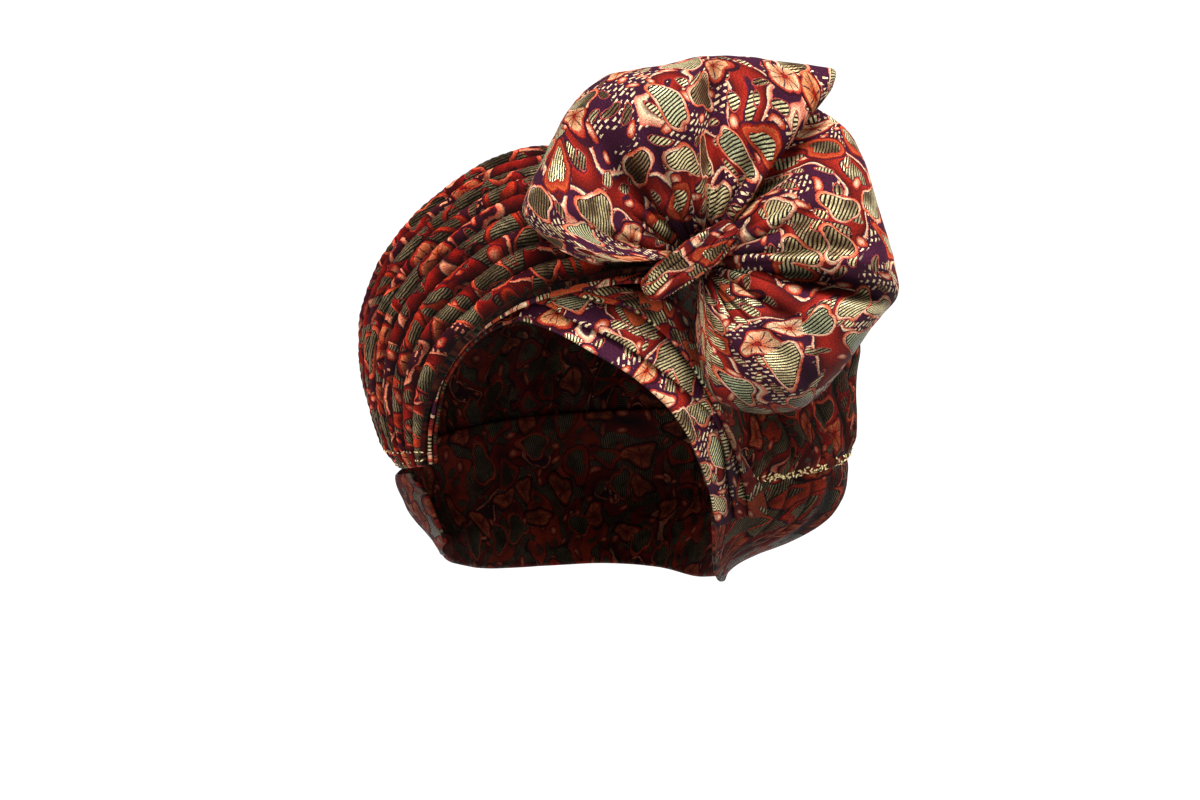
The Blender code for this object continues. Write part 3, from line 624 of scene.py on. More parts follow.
class Wires:
    """Adds nodes to a tree and feeds each by values or by other nodes."""

    def __init__(self, tree):
        self.tree = tree

    def feed(self, socket, value):
        if isinstance(value, bpy.types.NodeSocket):
            self.tree.links.new(value, socket)
        else:
            socket.default_value = value

    def node(self, kind, *values, named=(), **settings):
        made = self.tree.nodes.new(kind)
        for key, value in settings.items():
            setattr(made, key, value)
        for socket, value in zip(made.inputs, values):
            self.feed(socket, value)
        for key, value in dict(named).items():
            self.feed(made.inputs[key], value)
        return made

    def math(self, operation, *values):
        return self.node("ShaderNodeMath", *values, operation=operation).outputs[0]

    def times(self, a, b):
        return self.math("MULTIPLY", a, b)

    def plus(self, a, b):
        return self.math("ADD", a, b)

    def minus(self, a, b):
        return self.math("SUBTRACT", a, b)

    def over(self, a, b):
        return self.math("DIVIDE", a, b)

    def linear(self, value, slope, start):
        return self.math("MULTIPLY_ADD", value, slope, start)

    def rest(self, value):
        """What is left of 1."""
        return self.minus(1.0, value)

    def most(self, a, b):
        return self.math("MAXIMUM", a, b)

    def vector(self, operation, *values):
        return self.node("ShaderNodeVectorMath", *values, operation=operation).outputs[0]

    def scaled(self, vector, scale):
        made = self.node("ShaderNodeVectorMath", vector, operation="SCALE")
        self.feed(made.inputs["Scale"], scale)
        return made.outputs[0]

    def mix(self, factor, a, b, blend="MIX"):
        made = self.node("ShaderNodeMix", data_type="RGBA", blend_type=blend)
        for index, value in ((0, factor), (6, a), (7, b)):
            self.feed(made.inputs[index], value)
        return made.outputs[2]

    def tinted(self, colour, tint):
        return self.mix(1.0, colour, tint, "MULTIPLY")

    def smooth(self, value, low, high):
        """0 at low to 1 at high, with soft ends."""
        kind, settings = "ShaderNodeMapRange", {"interpolation_type": "SMOOTHSTEP"}
        return self.node(kind, value, low, high, 0.0, 1.0, **settings).outputs[0]

    def noise(self, vector, scale, detail=1.0, roughness=0.5):
        named = {"Vector": vector, "Scale": scale, "Detail": detail, "Roughness": roughness}
        return self.node("ShaderNodeTexNoise", named=named).outputs[0]

    def drift(self, vector, scale, detail=1.0):
        """A random vector, from -0.5 to 0.5 each way, that changes from place to place."""
        named = {"Vector": vector, "Scale": scale, "Detail": detail, "Roughness": 0.5}
        colour = self.node("ShaderNodeTexNoise", named=named).outputs[1]
        return self.vector("SUBTRACT", colour, (0.5, 0.5, 0.5))

    def turned(self, vector, angle):
        named = {"Vector": vector, "Angle": angle}
        return self.node("ShaderNodeVectorRotate", rotation_type="Z_AXIS", named=named).outputs[0]

    def xyz(self, vector):
        return self.node("ShaderNodeSeparateXYZ", vector).outputs

    def joined(self, x, y, z=0.0):
        return self.node("ShaderNodeCombineXYZ", x, y, z).outputs[0]


def new_tree(name, kind, inputs, outputs):
    """A node group with its sockets: name, type and default each."""
    tree = bpy.data.node_groups.new(name, kind)
    for label, socket, default in inputs:
        made = tree.interface.new_socket(label, in_out="INPUT", socket_type=socket)
        if default is not None:
            made.default_value = default
    for label, socket in outputs:
        tree.interface.new_socket(label, in_out="OUTPUT", socket_type=socket)
    return tree, tree.nodes.new("NodeGroupInput").outputs, tree.nodes.new("NodeGroupOutput").inputs


FLOAT, VECTOR, COLOUR = "NodeSocketFloat", "NodeSocketVector", "NodeSocketColor"
SHAPE, FINISH = "NodeSocketGeometry", "NodeSocketMaterial"


def fold_tree():
    """Raises cloth along its facing by rolled folds, small crimps and soft dents."""
    made = bpy.data.node_groups.get("rolled_folds")
    if made:
        return made
    inputs = [
        ("Cloth", SHAPE, None), ("Fold Count", FLOAT, 9.0), ("Crease", FLOAT, 0.97),
        ("Lean", FLOAT, 0.0), ("Unevenness", FLOAT, 0.2), ("Crimp Depth", FLOAT, 0.0),
        ("Crimp Pitch", FLOAT, 0.01), ("Dent Depth", FLOAT, 0.0004), ("Dent Size", FLOAT, 0.02),
        ("Roundness", FLOAT, 0.5), ("Lee", FLOAT, 0.0), ("Underside", FLOAT, 0.4),
        ("Finish", FINISH, None),
    ]
    tree, given, result = new_tree("rolled_folds", "GeometryNodeTree", inputs, [("Cloth", SHAPE)])
    w = Wires(tree)

    def attribute(name, kind="FLOAT"):
        return w.node("GeometryNodeInputNamedAttribute", name, data_type=kind).outputs["Attribute"]

    run, depth, along = attribute("fold_run"), attribute("fold_depth"), attribute("fold_along")
    sink = attribute("fold_sink")
    facing = attribute("fold_facing", "FLOAT_VECTOR")
    leaning = attribute("fold_lean", "FLOAT_VECTOR")
    at = w.node("GeometryNodeInputPosition").outputs[0]

    # Rolled folds: round crowns with creases between them, each stretch a little uneven
    folds = w.times(run, given["Fold Count"])
    across = w.linear(w.math("FRACT", folds), 2.0, -1.0)
    bent = w.times(w.times(across, across), given["Crease"])
    roll = w.math("POWER", w.most(w.rest(bent), 0.0), given["Roundness"])
    own = w.joined(w.times(along, SWELL_GRAIN), w.times(w.math("FLOOR", folds), SWELL_STEP))
    swell = w.minus(w.noise(own, 1.0), 0.5)
    swell = w.linear(swell, w.times(given["Unevenness"], 2.0), 1.0)
    sunk = w.linear(w.minus(roll, 1.0), sink, roll)
    raised = w.times(w.times(depth, sunk), swell)

    # Shade in the creases, on the lee side of each fold and under the cloth
    painted_lee_shade = w.times(w.smooth(across, -0.10, -0.80), given["Lee"])
    crease = w.most(w.smooth(roll, 0.95, 0.10), painted_lee_shade)
    crease = w.times(crease, w.smooth(depth, 0.0002, 0.0020))
    faces = w.node("GeometryNodeInputNormal").outputs[0]
    under = w.times(w.smooth(w.xyz(faces)[2], 0.30, -0.55), given["Underside"])
    under = w.math("MINIMUM", w.plus(under, attribute("fold_shade")), DARKEST_SHADE)
    crease = w.most(crease, under)

    # Small crimps along the folds and soft dents all over
    wander = w.times(w.noise(at, CRIMP_GRAIN), CRIMP_WANDER)
    wave = w.over(w.times(along, 2 * math.pi), given["Crimp Pitch"])
    wave = w.math("COSINE", w.plus(wave, wander))
    crimp = w.times(w.times(wave, roll), given["Crimp Depth"])
    dent = w.noise(at, w.over(1.0, given["Dent Size"]), 2.0, 0.45)
    dent = w.times(w.minus(dent, 0.5), w.times(given["Dent Depth"], 2.0))
    height = w.plus(w.plus(raised, crimp), dent)
    shift = w.vector(
        "ADD", w.scaled(facing, height), w.scaled(leaning, w.times(raised, given["Lean"]))
    )
    moved = w.node("GeometryNodeSetPosition", given["Cloth"], named={"Offset": shift}).outputs[0]
    # Painted shade for the colour, kept on each point: creases, lee sides, undersides and
    # fold_shade
    kept = w.node("GeometryNodeStoreNamedAttribute", moved, data_type="FLOAT", domain="POINT",
                  named={"Name": "fold_crease", "Value": crease}).outputs[0]
    real = w.node("GeometryNodeRealizeInstances", kept).outputs[0]
    done = w.node("GeometryNodeSetMaterial", real, named={"Material": given["Finish"]}).outputs[0]
    tree.links.new(done, result[0])
    return tree


def stitch_tree():
    """Lays short rounded stitches along a line."""
    made = bpy.data.node_groups.get("stitch_line")
    if made:
        return made
    inputs = [
        ("Line", SHAPE, None), ("Stitch", FLOAT, 0.003), ("Gap", FLOAT, 0.002),
        ("Thread", FLOAT, 0.0004), ("Scatter", FLOAT, 0.2), ("Seed", "NodeSocketInt", 1),
        ("Finish", FINISH, None),
    ]
    tree, given, result = new_tree("stitch_line", "GeometryNodeTree", inputs, [("Stitches", SHAPE)])
    w = Wires(tree)
    pitch = w.plus(given["Stitch"], given["Gap"])
    curve = w.node("GeometryNodeMeshToCurve", given["Line"]).outputs[0]
    points = w.node("GeometryNodeCurveToPoints", curve, mode="LENGTH", named={"Length": pitch})
    seed = given["Seed"]
    wild = w.node("FunctionNodeRandomValue", data_type="FLOAT_VECTOR", named={"Seed": seed})
    aside = w.scaled(w.vector("SUBTRACT", wild.outputs[0], (0.5, 0.5, 0.5)), given["Scatter"])
    aim = w.node("FunctionNodeAlignEulerToVector", axis="X")
    w.feed(aim.inputs["Vector"], w.vector("ADD", points.outputs["Tangent"], aside))
    bead = w.node("GeometryNodeMeshUVSphere", 8, 5, 0.5).outputs[0]
    size = w.joined(given["Stitch"], given["Thread"], given["Thread"])
    laid = w.node(
        "GeometryNodeInstanceOnPoints", points.outputs[0],
        named={"Instance": bead, "Rotation": aim.outputs[0], "Scale": size},
    ).outputs[0]
    real = w.node("GeometryNodeRealizeInstances", laid).outputs[0]
    smooth = w.node("GeometryNodeSetShadeSmooth", real).outputs[0]
    done = w.node("GeometryNodeSetMaterial", smooth, named={"Material": given["Finish"]}).outputs[0]
    tree.links.new(done, result[0])
    return tree


def made_real(piece, tree, **values):
    """The piece's mesh after its node tree has run, with nothing live left on it."""
    live = piece.modifiers.new(tree.name, "NODES")
    live.node_group = tree
    for socket in tree.interface.items_tree:
        if socket.in_out == "INPUT" and socket.name in values:
            live[socket.identifier] = values[socket.name]
    graph = bpy.context.evaluated_depsgraph_get()
    plain = bpy.data.meshes.new_from_object(piece.evaluated_get(graph), depsgraph=graph)
    piece.modifiers.remove(live)
    plain.name = piece.name
    piece.data = plain
    return piece


def put_field(mesh, name, values):
    """A value or a vector for each point of the mesh."""
    kind, key = ("FLOAT", "value") if values.ndim == 1 else ("FLOAT_VECTOR", "vector")
    field = mesh.attributes.new(name, kind, "POINT")
    field.data.foreach_set(key, np.ascontiguousarray(values, np.float32).ravel())


def quads_of(grid):
    """Faces between neighbours in a grid of point numbers."""
    corners = [grid[:-1, :-1], grid[1:, :-1], grid[1:, 1:], grid[:-1, 1:]]
    return np.stack(corners, axis=-1).reshape(-1, 4)


def lay_flat(mesh, flat, full_turn=None):
    """Keeps where the corners lie on the flat cloth as the UV map, also over a full turn's end."""
    corner = np.empty(len(mesh.loops), np.int32)
    mesh.loops.foreach_get("vertex_index", corner)
    spots = flat[corner]
    if full_turn:
        width, count = spots[:, 1], len(mesh.polygons)
        owner = np.repeat(np.arange(count), [face.loop_total for face in mesh.polygons])
        low, high = np.full(count, full_turn), np.zeros(count)
        np.minimum.at(low, owner, width)
        np.maximum.at(high, owner, width)
        wraps = ((high - low)[owner] > full_turn / 2) & (width < full_turn / 2)
        spots[:, 1] = np.where(wraps, width + full_turn, width)
    layer = mesh.uv_layers.new(name="cloth")
    layer.data.foreach_set("uv", spots.astype(np.float32).ravel())


def placed(name, points, faces):
    mesh = bpy.data.meshes.new(name)
    mesh.from_pydata(points.tolist(), [], faces)
    shape = bmesh.new()
    shape.from_mesh(mesh)
    bmesh.ops.recalc_face_normals(shape, faces=shape.faces[:])
    shape.to_mesh(mesh)
    shape.free()
    mesh.polygons.foreach_set("use_smooth", np.ones(len(mesh.polygons), bool))
    piece = bpy.data.objects.new(name, mesh)
    bpy.context.scene.collection.objects.link(piece)
    return piece


def cloth_piece(name, outer, inner, flat, tips=None, **fields):
    """Closed thin cloth between two grids of points, with its edges rounded over.

    flat is where each point lies on the flat cloth, in metres. fields are values or vectors for
    each point. With tips the first index runs round, and the two tips close the last column.
    """
    ring = tips is not None
    rows, columns = outer.shape[:2]
    count = rows * columns
    index = np.arange(count).reshape(rows, columns)
    grid = np.vstack([index, index[:1]]) if ring else index
    quads = quads_of(grid)
    faces = quads.tolist() + (quads[:, ::-1] + count).tolist()
    nearer = index[:, np.clip(np.arange(columns), 1, columns - 2)]
    if ring:
        paths = [(index[:, 0], nearer[:, 0])]
    else:
        nearer = nearer[np.clip(np.arange(rows), 1, rows - 2)]
        back = slice(-2, None, -1)
        walk = [(slice(None), 0), (-1, slice(1, None)), (back, -1), (0, slice(-2, 0, -1))]
        paths = [tuple(np.concatenate([g[at] for at in walk]) for g in (index, nearer))]
    both = np.concatenate([outer.reshape(-1, 3), inner.reshape(-1, 3)])
    points, source, wrong = [both], [np.arange(count)] * 2, [np.zeros(count), np.ones(count)]
    total = 2 * count
    for path, inside in paths:
        away = unit(both[path] - both[inside])
        wall = np.linalg.norm(both[path] - both[path + count], axis=-1, keepdims=True)
        middle = (both[path] + both[path + count]) / 2 + away * wall * EDGE_ROUND
        points.append(middle)
        source.append(path)
        wrong.append(np.full(len(path), EDGE_WRONG_SIDE))
        middles = total + np.arange(len(path))
        for a, b in ((path, middles), (middles, path + count)):
            faces += np.stack([a, np.roll(a, -1), np.roll(b, -1), b], axis=-1).tolist()
        total += len(path)
    if ring:
        points.append(np.array(tips))
        source.append(np.array([index[0, -1]] * 2))
        wrong.append(np.array([0.0, 1.0]))
        last = index[:, -1]
        for side, tip in ((0, total), (count, total + 1)):
            fan = np.stack([last + side, np.roll(last, -1) + side, np.full(rows, tip)], axis=-1)
            faces += fan.tolist()
    piece = placed(name, np.concatenate(points), faces)
    source = np.concatenate(source)
    flat = flat.reshape(-1, 2)[source]
    if ring:
        flat[-2:] = 0.0
    put_field(piece.data, "wrong_side", np.concatenate(wrong))
    for key, values in fields.items():
        ends = np.shape(values)[2:]
        values = np.broadcast_to(values, (rows, columns) + ends).reshape((count,) + ends)
        put_field(piece.data, key, values[source])
    lay_flat(piece.data, flat)
    return piece


def points_of(piece):
    found = np.empty(len(piece.data.vertices) * 3, np.float32)
    piece.data.vertices.foreach_get("co", found)
    return found.reshape(-1, 3).astype(float)


def set_points(piece, points):
    piece.data.vertices.foreach_set("co", points.astype(np.float32).ravel())
    piece.data.update()


def declared(piece, node):
    """Seats a finished piece on the frame in place of its plain solid."""
    for name in ("fold_run", "fold_depth", "fold_along", "fold_sink", "fold_shade", "fold_facing",
                 "fold_lean"):
        field = piece.data.attributes.get(name)
        if field:
            piece.data.attributes.remove(field)
    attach(piece, "root")
    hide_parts(node)
    return piece


def colour_ramp(w, value, stops):
    """The colour and the alpha of a ramp of (place, colour, alpha) stops."""
    made = w.node("ShaderNodeValToRGB", value)
    elements = made.color_ramp.elements
    while len(elements) < len(stops):
        elements.new(1.0)
    for element, (at, colour, alpha) in zip(elements, stops):
        element.position = at
        element.color = (*colour, alpha)
    return made.outputs[0], made.outputs[1]


def bands(w, value, rows):
    """Bands of colour, (start, colour, last colour where it changes), that meet at crisp edges.

    Gives the colour, and 1 where the band is the bronze ground of gold bars.
    """
    bronze = sizes().cloth.bronze[:]
    starts = [row[0] for row in rows[1:]]
    stops = []
    for (at, *colours), until in zip(rows, starts + [1.0 + BAND_EDGE]):
        barred = float(colours[0] == bronze)
        stops += [(at, colours[0], barred), (until - BAND_EDGE, colours[-1], barred)]
    return colour_ramp(w, value, stops)


def motif(w, place, stretch, petals, size, lobe):
    """The motif at each place: 0 at its middle to 1 at its rim, its random numbers, the angle."""
    cells = w.node(
        "ShaderNodeTexVoronoi", voronoi_dimensions="2D", feature="F1",
        named={"Vector": place, "Scale": 1.0, "Randomness": 0.8},
    )
    chance = w.node("ShaderNodeSeparateColor", cells.outputs["Color"]).outputs
    off = w.vector("SUBTRACT", place, cells.outputs["Position"])
    x, y, _ = w.xyz(w.turned(off, w.times(chance[2], 2 * math.pi)))
    y = w.times(y, stretch)
    reach = w.math("SQRT", w.plus(w.times(x, x), w.times(y, y)))
    angle = w.math("ARCTAN2", y, x)
    lobes = w.math("COSINE", w.linear(angle, petals, w.times(chance[1], 6.0)))
    radius = w.linear(lobes, size * lobe, size)
    return w.over(reach, radius), chance, angle


def brocade_tree():
    """The pattern over the flat cloth: barred lobes, petals, scrolls, dashes and weave."""
    made = bpy.data.node_groups.get("brocade")
    if made:
        return made
    cloth = sizes().cloth
    gold, bronze, plum, red = cloth.gold[:], cloth.bronze[:], cloth.plum[:], cloth.red[:]
    deep, salmon, cream, mint = cloth.deep[:], cloth.salmon[:], cloth.cream[:], cloth.mint[:]
    orange = cloth.orange[:]
    # The tone input is painted light and shade of the whole piece; Crease is painted shade kept by
    # the fold tree
    inputs = [
        ("Flat Place", VECTOR, None), ("Wrong Side", FLOAT, 0.0), ("Shift", VECTOR, None),
        ("Bar Turn", FLOAT, 0.6), ("Plum Share", FLOAT, 0.5), ("Gold Share", FLOAT, 0.6),
        ("Scale", FLOAT, 1.0), ("Tone", FLOAT, 1.0), ("Crease", FLOAT, 0.0), ("Warmth", FLOAT, 0.0),
        ("Wear", FLOAT, 0.0),
    ]
    outputs = [("Colour", COLOUR), ("Metal", FLOAT), ("Roughness", FLOAT), ("Height", FLOAT)]
    tree, given, result = new_tree("brocade", "ShaderNodeTree", inputs, outputs)
    w = Wires(tree)
    flat = given["Flat Place"]
    place = w.scaled(flat, w.over(given["Scale"], cloth.motif))
    place = w.vector("ADD", place, given["Shift"])
    bend, jag = w.drift(place, 0.9, 1.5), w.drift(place, 22.0)
    bent = w.vector("ADD", w.vector("ADD", place, w.scaled(bend, 0.8)), w.scaled(jag, 0.035))
    x, y, _ = w.xyz(bent)
    bent = w.joined(x, y)

    # Gold bars, all along one way of the weave
    bar_x, bar_y, _ = w.xyz(w.turned(flat, given["Bar Turn"]))
    wobble = w.noise(place, 3.0)
    pitch = w.linear(given["Wear"], -0.4 * cloth.bar_pitch, cloth.bar_pitch)
    bars = w.linear(wobble, 0.8, w.over(bar_y, pitch))
    ridge = w.math("PINGPONG", bars, 0.5)
    bar = w.smooth(ridge, 0.20, 0.28)
    worn = w.smooth(w.noise(place, 1.3, 2.0), 0.38, 0.60)
    worn = w.times(worn, w.rest(given["Wear"]))
    tarnish = [sum(a * b for a, b in zip(TARNISH, both)) for both in zip(gold, cream, bronze)]
    tarnish = [part * tint for part, tint in zip(tarnish, TARNISH_TINT)]
    thread = w.mix(worn, (*tarnish, 1), (*gold, 1))

    # Large motifs: barred lobes in a rim, veined petals, and red lobes with barred leaves
    s, chance, angle = motif(w, bent, stretch=1.45, petals=3.0, size=0.42, lobe=0.20)
    half = w.times(s, 0.5)
    lobes, lobe_bars = bands(
        w, half, [(0.0, bronze), (0.405, plum), (0.43, cream, salmon), (0.515, plum)]
    )
    petals, _ = bands(
        w, half,
        [(0.0, red), (0.06, plum), (0.08, orange, cream), (0.38, salmon, red), (0.455, plum)],
    )
    leaves, leaf_bars = bands(
        w, half, [(0.0, bronze), (0.30, red, orange), (0.44, red, deep), (0.50, plum)]
    )
    veins = w.math("ABSOLUTE", w.math("SINE", w.times(angle, 4.0)))
    vein = w.times(w.smooth(veins, 0.32, 0.18), w.smooth(s, 0.92, 0.55))
    vein = w.times(vein, w.smooth(s, 0.14, 0.22))
    petals = w.mix(w.most(chance[1], given["Warmth"]), petals, w.tinted(petals, BROWN_TINT))
    petals = w.mix(vein, petals, (*plum, 1))
    barred = w.math("LESS_THAN", chance[0], given["Gold Share"])
    plain = w.rest(barred)
    leafy = w.math("GREATER_THAN", chance[1], 0.62)
    warm = w.smooth(w.noise(place, 2.2), 0.40, 0.58)
    warm = w.most(warm, given["Warmth"])
    lobes = w.mix(warm, lobes, w.tinted(lobes, WARM_TINT))
    large = w.mix(leafy, lobes, leaves)
    large = w.mix(plain, large, petals)
    whole = w.times(w.rest(leafy), lobe_bars)
    large_bars = w.times(barred, w.linear(leafy, leaf_bars, whole))
    inside_large = w.math("LESS_THAN", s, 1.06)
    pale = w.math("GREATER_THAN", chance[2], 0.82)

    # Small leaves and blossoms between them
    finer = w.vector("ADD", w.scaled(bent, 2.3), (3.7, 1.9, 0.0))
    s2, chance2, _ = motif(w, finer, stretch=1.9, petals=2.0, size=0.40, lobe=0.10)
    half2 = w.times(s2, 0.5)
    leaf, small_bars = bands(
        w, half2, [(0.0, bronze), (0.38, plum), (0.42, salmon, red), (0.48, plum)]
    )
    blossom, _ = bands(w, half2, [(0.0, cream, salmon), (0.30, orange, red), (0.44, plum)])
    other = w.math("GREATER_THAN", chance2[0], 0.60)
    small = w.mix(other, leaf, blossom)
    small_bars = w.times(small_bars, w.rest(other))
    inside_small = w.math("LESS_THAN", s2, 1.0)

    # Ground: plum, red and barred fields, with scrolls along their borders and dashes on the plum
    field = w.noise(bent, 0.8, 1.0, 0.4)
    field = w.plus(field, w.minus(0.5, given["Plum Share"]))
    ground, ground_bars = bands(w, field, [
        (0.0, plum), (PLUM_UNTIL, salmon, cream), (0.455, plum), (0.467, deep, red), (0.555, plum),
        (0.565, bronze), (0.66, plum), (0.67, orange, red),
    ])
    uneven = w.noise(flat, 260.0)
    row = w.math("FLOOR", w.over(bar_y, cloth.dash_row))
    dash_x = w.linear(row, 0.37, w.over(bar_x, cloth.dash_pitch))
    dash_x = w.math("FRACT", w.linear(uneven, 1.2, dash_x))
    dash_y = w.math("PINGPONG", w.over(bar_y, cloth.dash_row), 0.5)
    dash_length = w.linear(w.noise(flat, 420.0), 1.4, -0.18)
    dash = w.math("LESS_THAN", dash_x, dash_length)
    dash = w.times(dash, w.math("GREATER_THAN", dash_y, 0.28))
    some = w.smooth(w.noise(place, 1.6), 0.48, 0.52)
    dash = w.times(w.times(dash, some), w.math("LESS_THAN", field, PLUM_UNTIL))
    ground = w.mix(dash, ground, (*cream, 1))

    colour = w.mix(inside_small, ground, small)
    colour = w.mix(inside_large, colour, large)
    outside_small = w.rest(inside_small)
    outside_large = w.rest(inside_large)
    beneath = w.plus(w.times(small_bars, inside_small),
                     w.times(ground_bars, outside_small))
    bars_here = w.plus(w.times(large_bars, inside_large),
                       w.times(beneath, outside_large))
    bars_here = w.math("GREATER_THAN", bars_here, 0.5)
    minted = w.times(pale, w.rest(given["Wear"]))
    minted = w.times(w.times(minted, inside_large), 0.6)
    thread = w.mix(minted, thread, (*mint, 1))
    colour = w.mix(bars_here, colour, (*bronze, 1))
    gold_here = w.times(bars_here, bar)
    colour = w.mix(gold_here, colour, thread)

    aged = w.times(given["Wear"], w.rest(bars_here))
    colour = w.mix(aged, colour, w.tinted(colour, AGED_TINT))

    # Shade of the yarn, twill, painted light and shade of each piece, painted shade in the creases,
    # lee sides, undersides and covered parts, and the duller wrong side
    speck = w.noise(flat, YARN_GRAIN)
    blotch = w.noise(flat, BLOTCH_GRAIN, 3.0, 0.6)
    grain_and_painted_light = w.linear(w.minus(speck, 0.5), 2.4, 1.0)
    grain_and_painted_light = w.times(grain_and_painted_light, w.linear(w.minus(blotch, 0.5), 1.2, 1.0))
    twill = w.plus(w.xyz(flat)[0], w.xyz(flat)[1])
    weave = w.smooth(w.math("PINGPONG", w.over(twill, cloth.twill_pitch), 0.5), 0.05, 0.45)
    grain_and_painted_light = w.times(grain_and_painted_light, w.linear(weave, 0.24, 0.86))
    rubbed = w.times(w.smooth(w.noise(flat, RUB_GRAIN, 2.0), 0.46, 0.62), given["Wear"])
    grain_and_painted_light = w.times(grain_and_painted_light, w.linear(rubbed, -0.55, 1.0))
    # Painted light and shade of the whole piece: the same cloth brighter on lit pieces, darker on
    # shaded ones
    grain_and_painted_light = w.times(grain_and_painted_light, given["Tone"])
    # Painted shade from the fold tree: creases, lee sides, undersides and covered parts darkened
    painted_crease_darkening = w.linear(given["Crease"], -0.93, 1.0)
    grain_and_painted_light = w.times(grain_and_painted_light, painted_crease_darkening)
    grain_and_painted_light = w.times(grain_and_painted_light, w.linear(given["Wrong Side"], -0.5, 1.0))
    colour = w.tinted(colour, w.joined(grain_and_painted_light, grain_and_painted_light, grain_and_painted_light))
    metal = w.linear(worn, -0.45, 0.95)
    metal = w.times(metal, w.linear(given["Wrong Side"], -0.6, 1.0))
    metal = w.times(gold_here, metal)
    rough = w.linear(gold_here, -0.38, 0.74)
    rough = w.linear(w.minus(speck, 0.5), 0.3, rough)
    raised = w.linear(gold_here, 0.8, w.times(weave, 0.3))
    raised = w.linear(speck, 0.5, raised)
    outline = w.smooth(w.math("ABSOLUTE", w.minus(s, 1.0)), 0.0, 0.14)
    raised = w.linear(outline, 0.4, raised)
    for socket, value in zip(result, (colour, metal, rough, raised)):
        w.feed(socket, value)
    return tree


def new_finish(name):
    made = bpy.data.materials.new(name)
    made.use_nodes = True
    shader = next(n for n in made.node_tree.nodes if n.type == "BSDF_PRINCIPLED")
    return made, Wires(made.node_tree), shader.inputs


def bump(w, height, strength, distance):
    named = {"Strength": strength, "Distance": distance, "Height": height}
    return w.node("ShaderNodeBump", named=named).outputs[0]


def brocade(name):
    """The finish of one cloth, by its row of the table."""
    across, up, bar_turn, plum, gold, scale, painted_light_and_shade, warmth, wear = FINISHES[name]
    made, w, shader = new_finish(name)
    # The first attribute is the cloth's duller wrong side; the second is the painted shade kept by
    # the fold tree
    wrong, crease = (
        w.node("ShaderNodeAttribute", attribute_name=key, attribute_type="GEOMETRY").outputs["Fac"]
        for key in ("wrong_side", "fold_crease")
    )
    pattern = w.node("ShaderNodeGroup", node_tree=brocade_tree(), named={
        "Flat Place": w.node("ShaderNodeUVMap", uv_map="cloth").outputs[0],
        "Wrong Side": wrong, "Crease": crease, "Shift": (across, up, 0.0),
        "Bar Turn": math.radians(bar_turn), "Plum Share": plum, "Gold Share": gold, "Scale": scale,
        "Tone": painted_light_and_shade, "Warmth": warmth, "Wear": wear,
    }).outputs
    w.feed(shader["Base Color"], pattern["Colour"])
    w.feed(shader["Metallic"], pattern["Metal"])
    w.feed(shader["Roughness"], pattern["Roughness"])
    w.feed(shader["Normal"], bump(w, pattern["Height"], 0.6, 0.0005))
    w.feed(shader["Specular IOR Level"], 0.10)
    return made


def gold_thread():
    """Twisted gold thread of the stitches and tacks."""
    made = bpy.data.materials.get("gold_thread")
    if made:
        return made
    made, w, shader = new_finish("gold_thread")
    twist = w.noise(w.node("ShaderNodeTexCoord").outputs["Object"], 900.0, 2.0)
    gold, bronze = sizes().cloth.gold[:], sizes().cloth.bronze[:]
    colour, _ = colour_ramp(w, twist, [(0.25, bronze, 1.0), (0.55, gold, 1.0)])
    w.feed(shader["Base Color"], colour)
    w.feed(shader["Roughness"], w.linear(twist, 0.3, 0.25))
    w.feed(shader["Normal"], bump(w, twist, 0.4, 0.0002))
    w.feed(shader["Metallic"], 0.9)
    return made


def folded(piece, finish, **values):
    """The piece with its folds raised; Fold_Count, for one, stands for the input Fold Count."""
    values = {key.replace("_", " "): value for key, value in values.items()}
    return made_real(piece, fold_tree(), Finish=brocade(finish), **values)


def crown_bag():
    """Bag of slack cloth over the crown, gathered along its seam."""
    head = sizes().head
    face = table_at(FACE_EDGE, np.linspace(0, 1, FACE_STEPS))
    seam_at = along_seam()
    turn, rise = np.vstack([face, table_at(SEAM, seam_at)]).T
    count = len(turn)
    on_seam = np.arange(count) >= FACE_STEPS
    top = direction(np.full(count, math.degrees(head.top_turn)), np.full(count, head.top_rise))
    shares = np.linspace(BAG_START, BAG_END, BAG_STEPS)
    way = between(direction(turn, rise), top, shares)
    lap = on_seam * lapped(turn) ** LAP_SHARPNESS
    lap = lap[:, None] * (1 - step(shares, *LAP_FADE))[None]
    wave = np.zeros(count)
    wave[on_seam] = np.cos(2 * math.pi * SEAM_WAVES * seam_at)
    gathers = head.gathers * (wave * lapped(turn))[:, None] * within(shares, BAG_GATHERS)[None]
    fullness = from_seam(shares, 0.0, 0.2)
    lift = head.ease + lap_lift() * lap + puffed(way) * fullness + gathers
    lift = np.maximum(lift, head.ease)
    outer, inner = on_head(way, lift + head.bag_wall), on_head(way, lift)
    tip_lift = puffed(top[0]) + head.ease
    tips = on_head(top[0], tip_lift + head.bag_wall), on_head(top[0], tip_lift)

    # Flat cloth, laid out round the place where the bag closes
    from_top = run_length(outer[:, ::-1], 1)[:, ::-1]
    ring = run_length(outer[:, :1], 0)[:, 0]
    aim = 2 * math.pi * ring / (ring[-1] + np.linalg.norm(outer[0, 0] - outer[-1, 0]))
    flat = from_top[..., None] * np.stack([np.cos(aim), np.sin(aim)], -1)[:, None]

    pleated = (within(turn, SIDE_PLEATS) * on_seam)[:, None] * within(shares, BAG_PLEATS)[None]
    piece = cloth_piece(
        "crown_bag_cloth", outer, inner, flat, tips,
        fold_run=wandering(turn, (1.3, 0.31, 0.0), (0.9, 0.77, 0.0))[:, None],
        fold_depth=head.pleat_depth * pleated, fold_along=from_top, fold_facing=head_facing(way),
    )
    folded(piece, "bag_brocade", Fold_Count=float(head.pleat_count), Dent_Size=0.025, **SLACK)
    return declared(piece, "crown_bag")


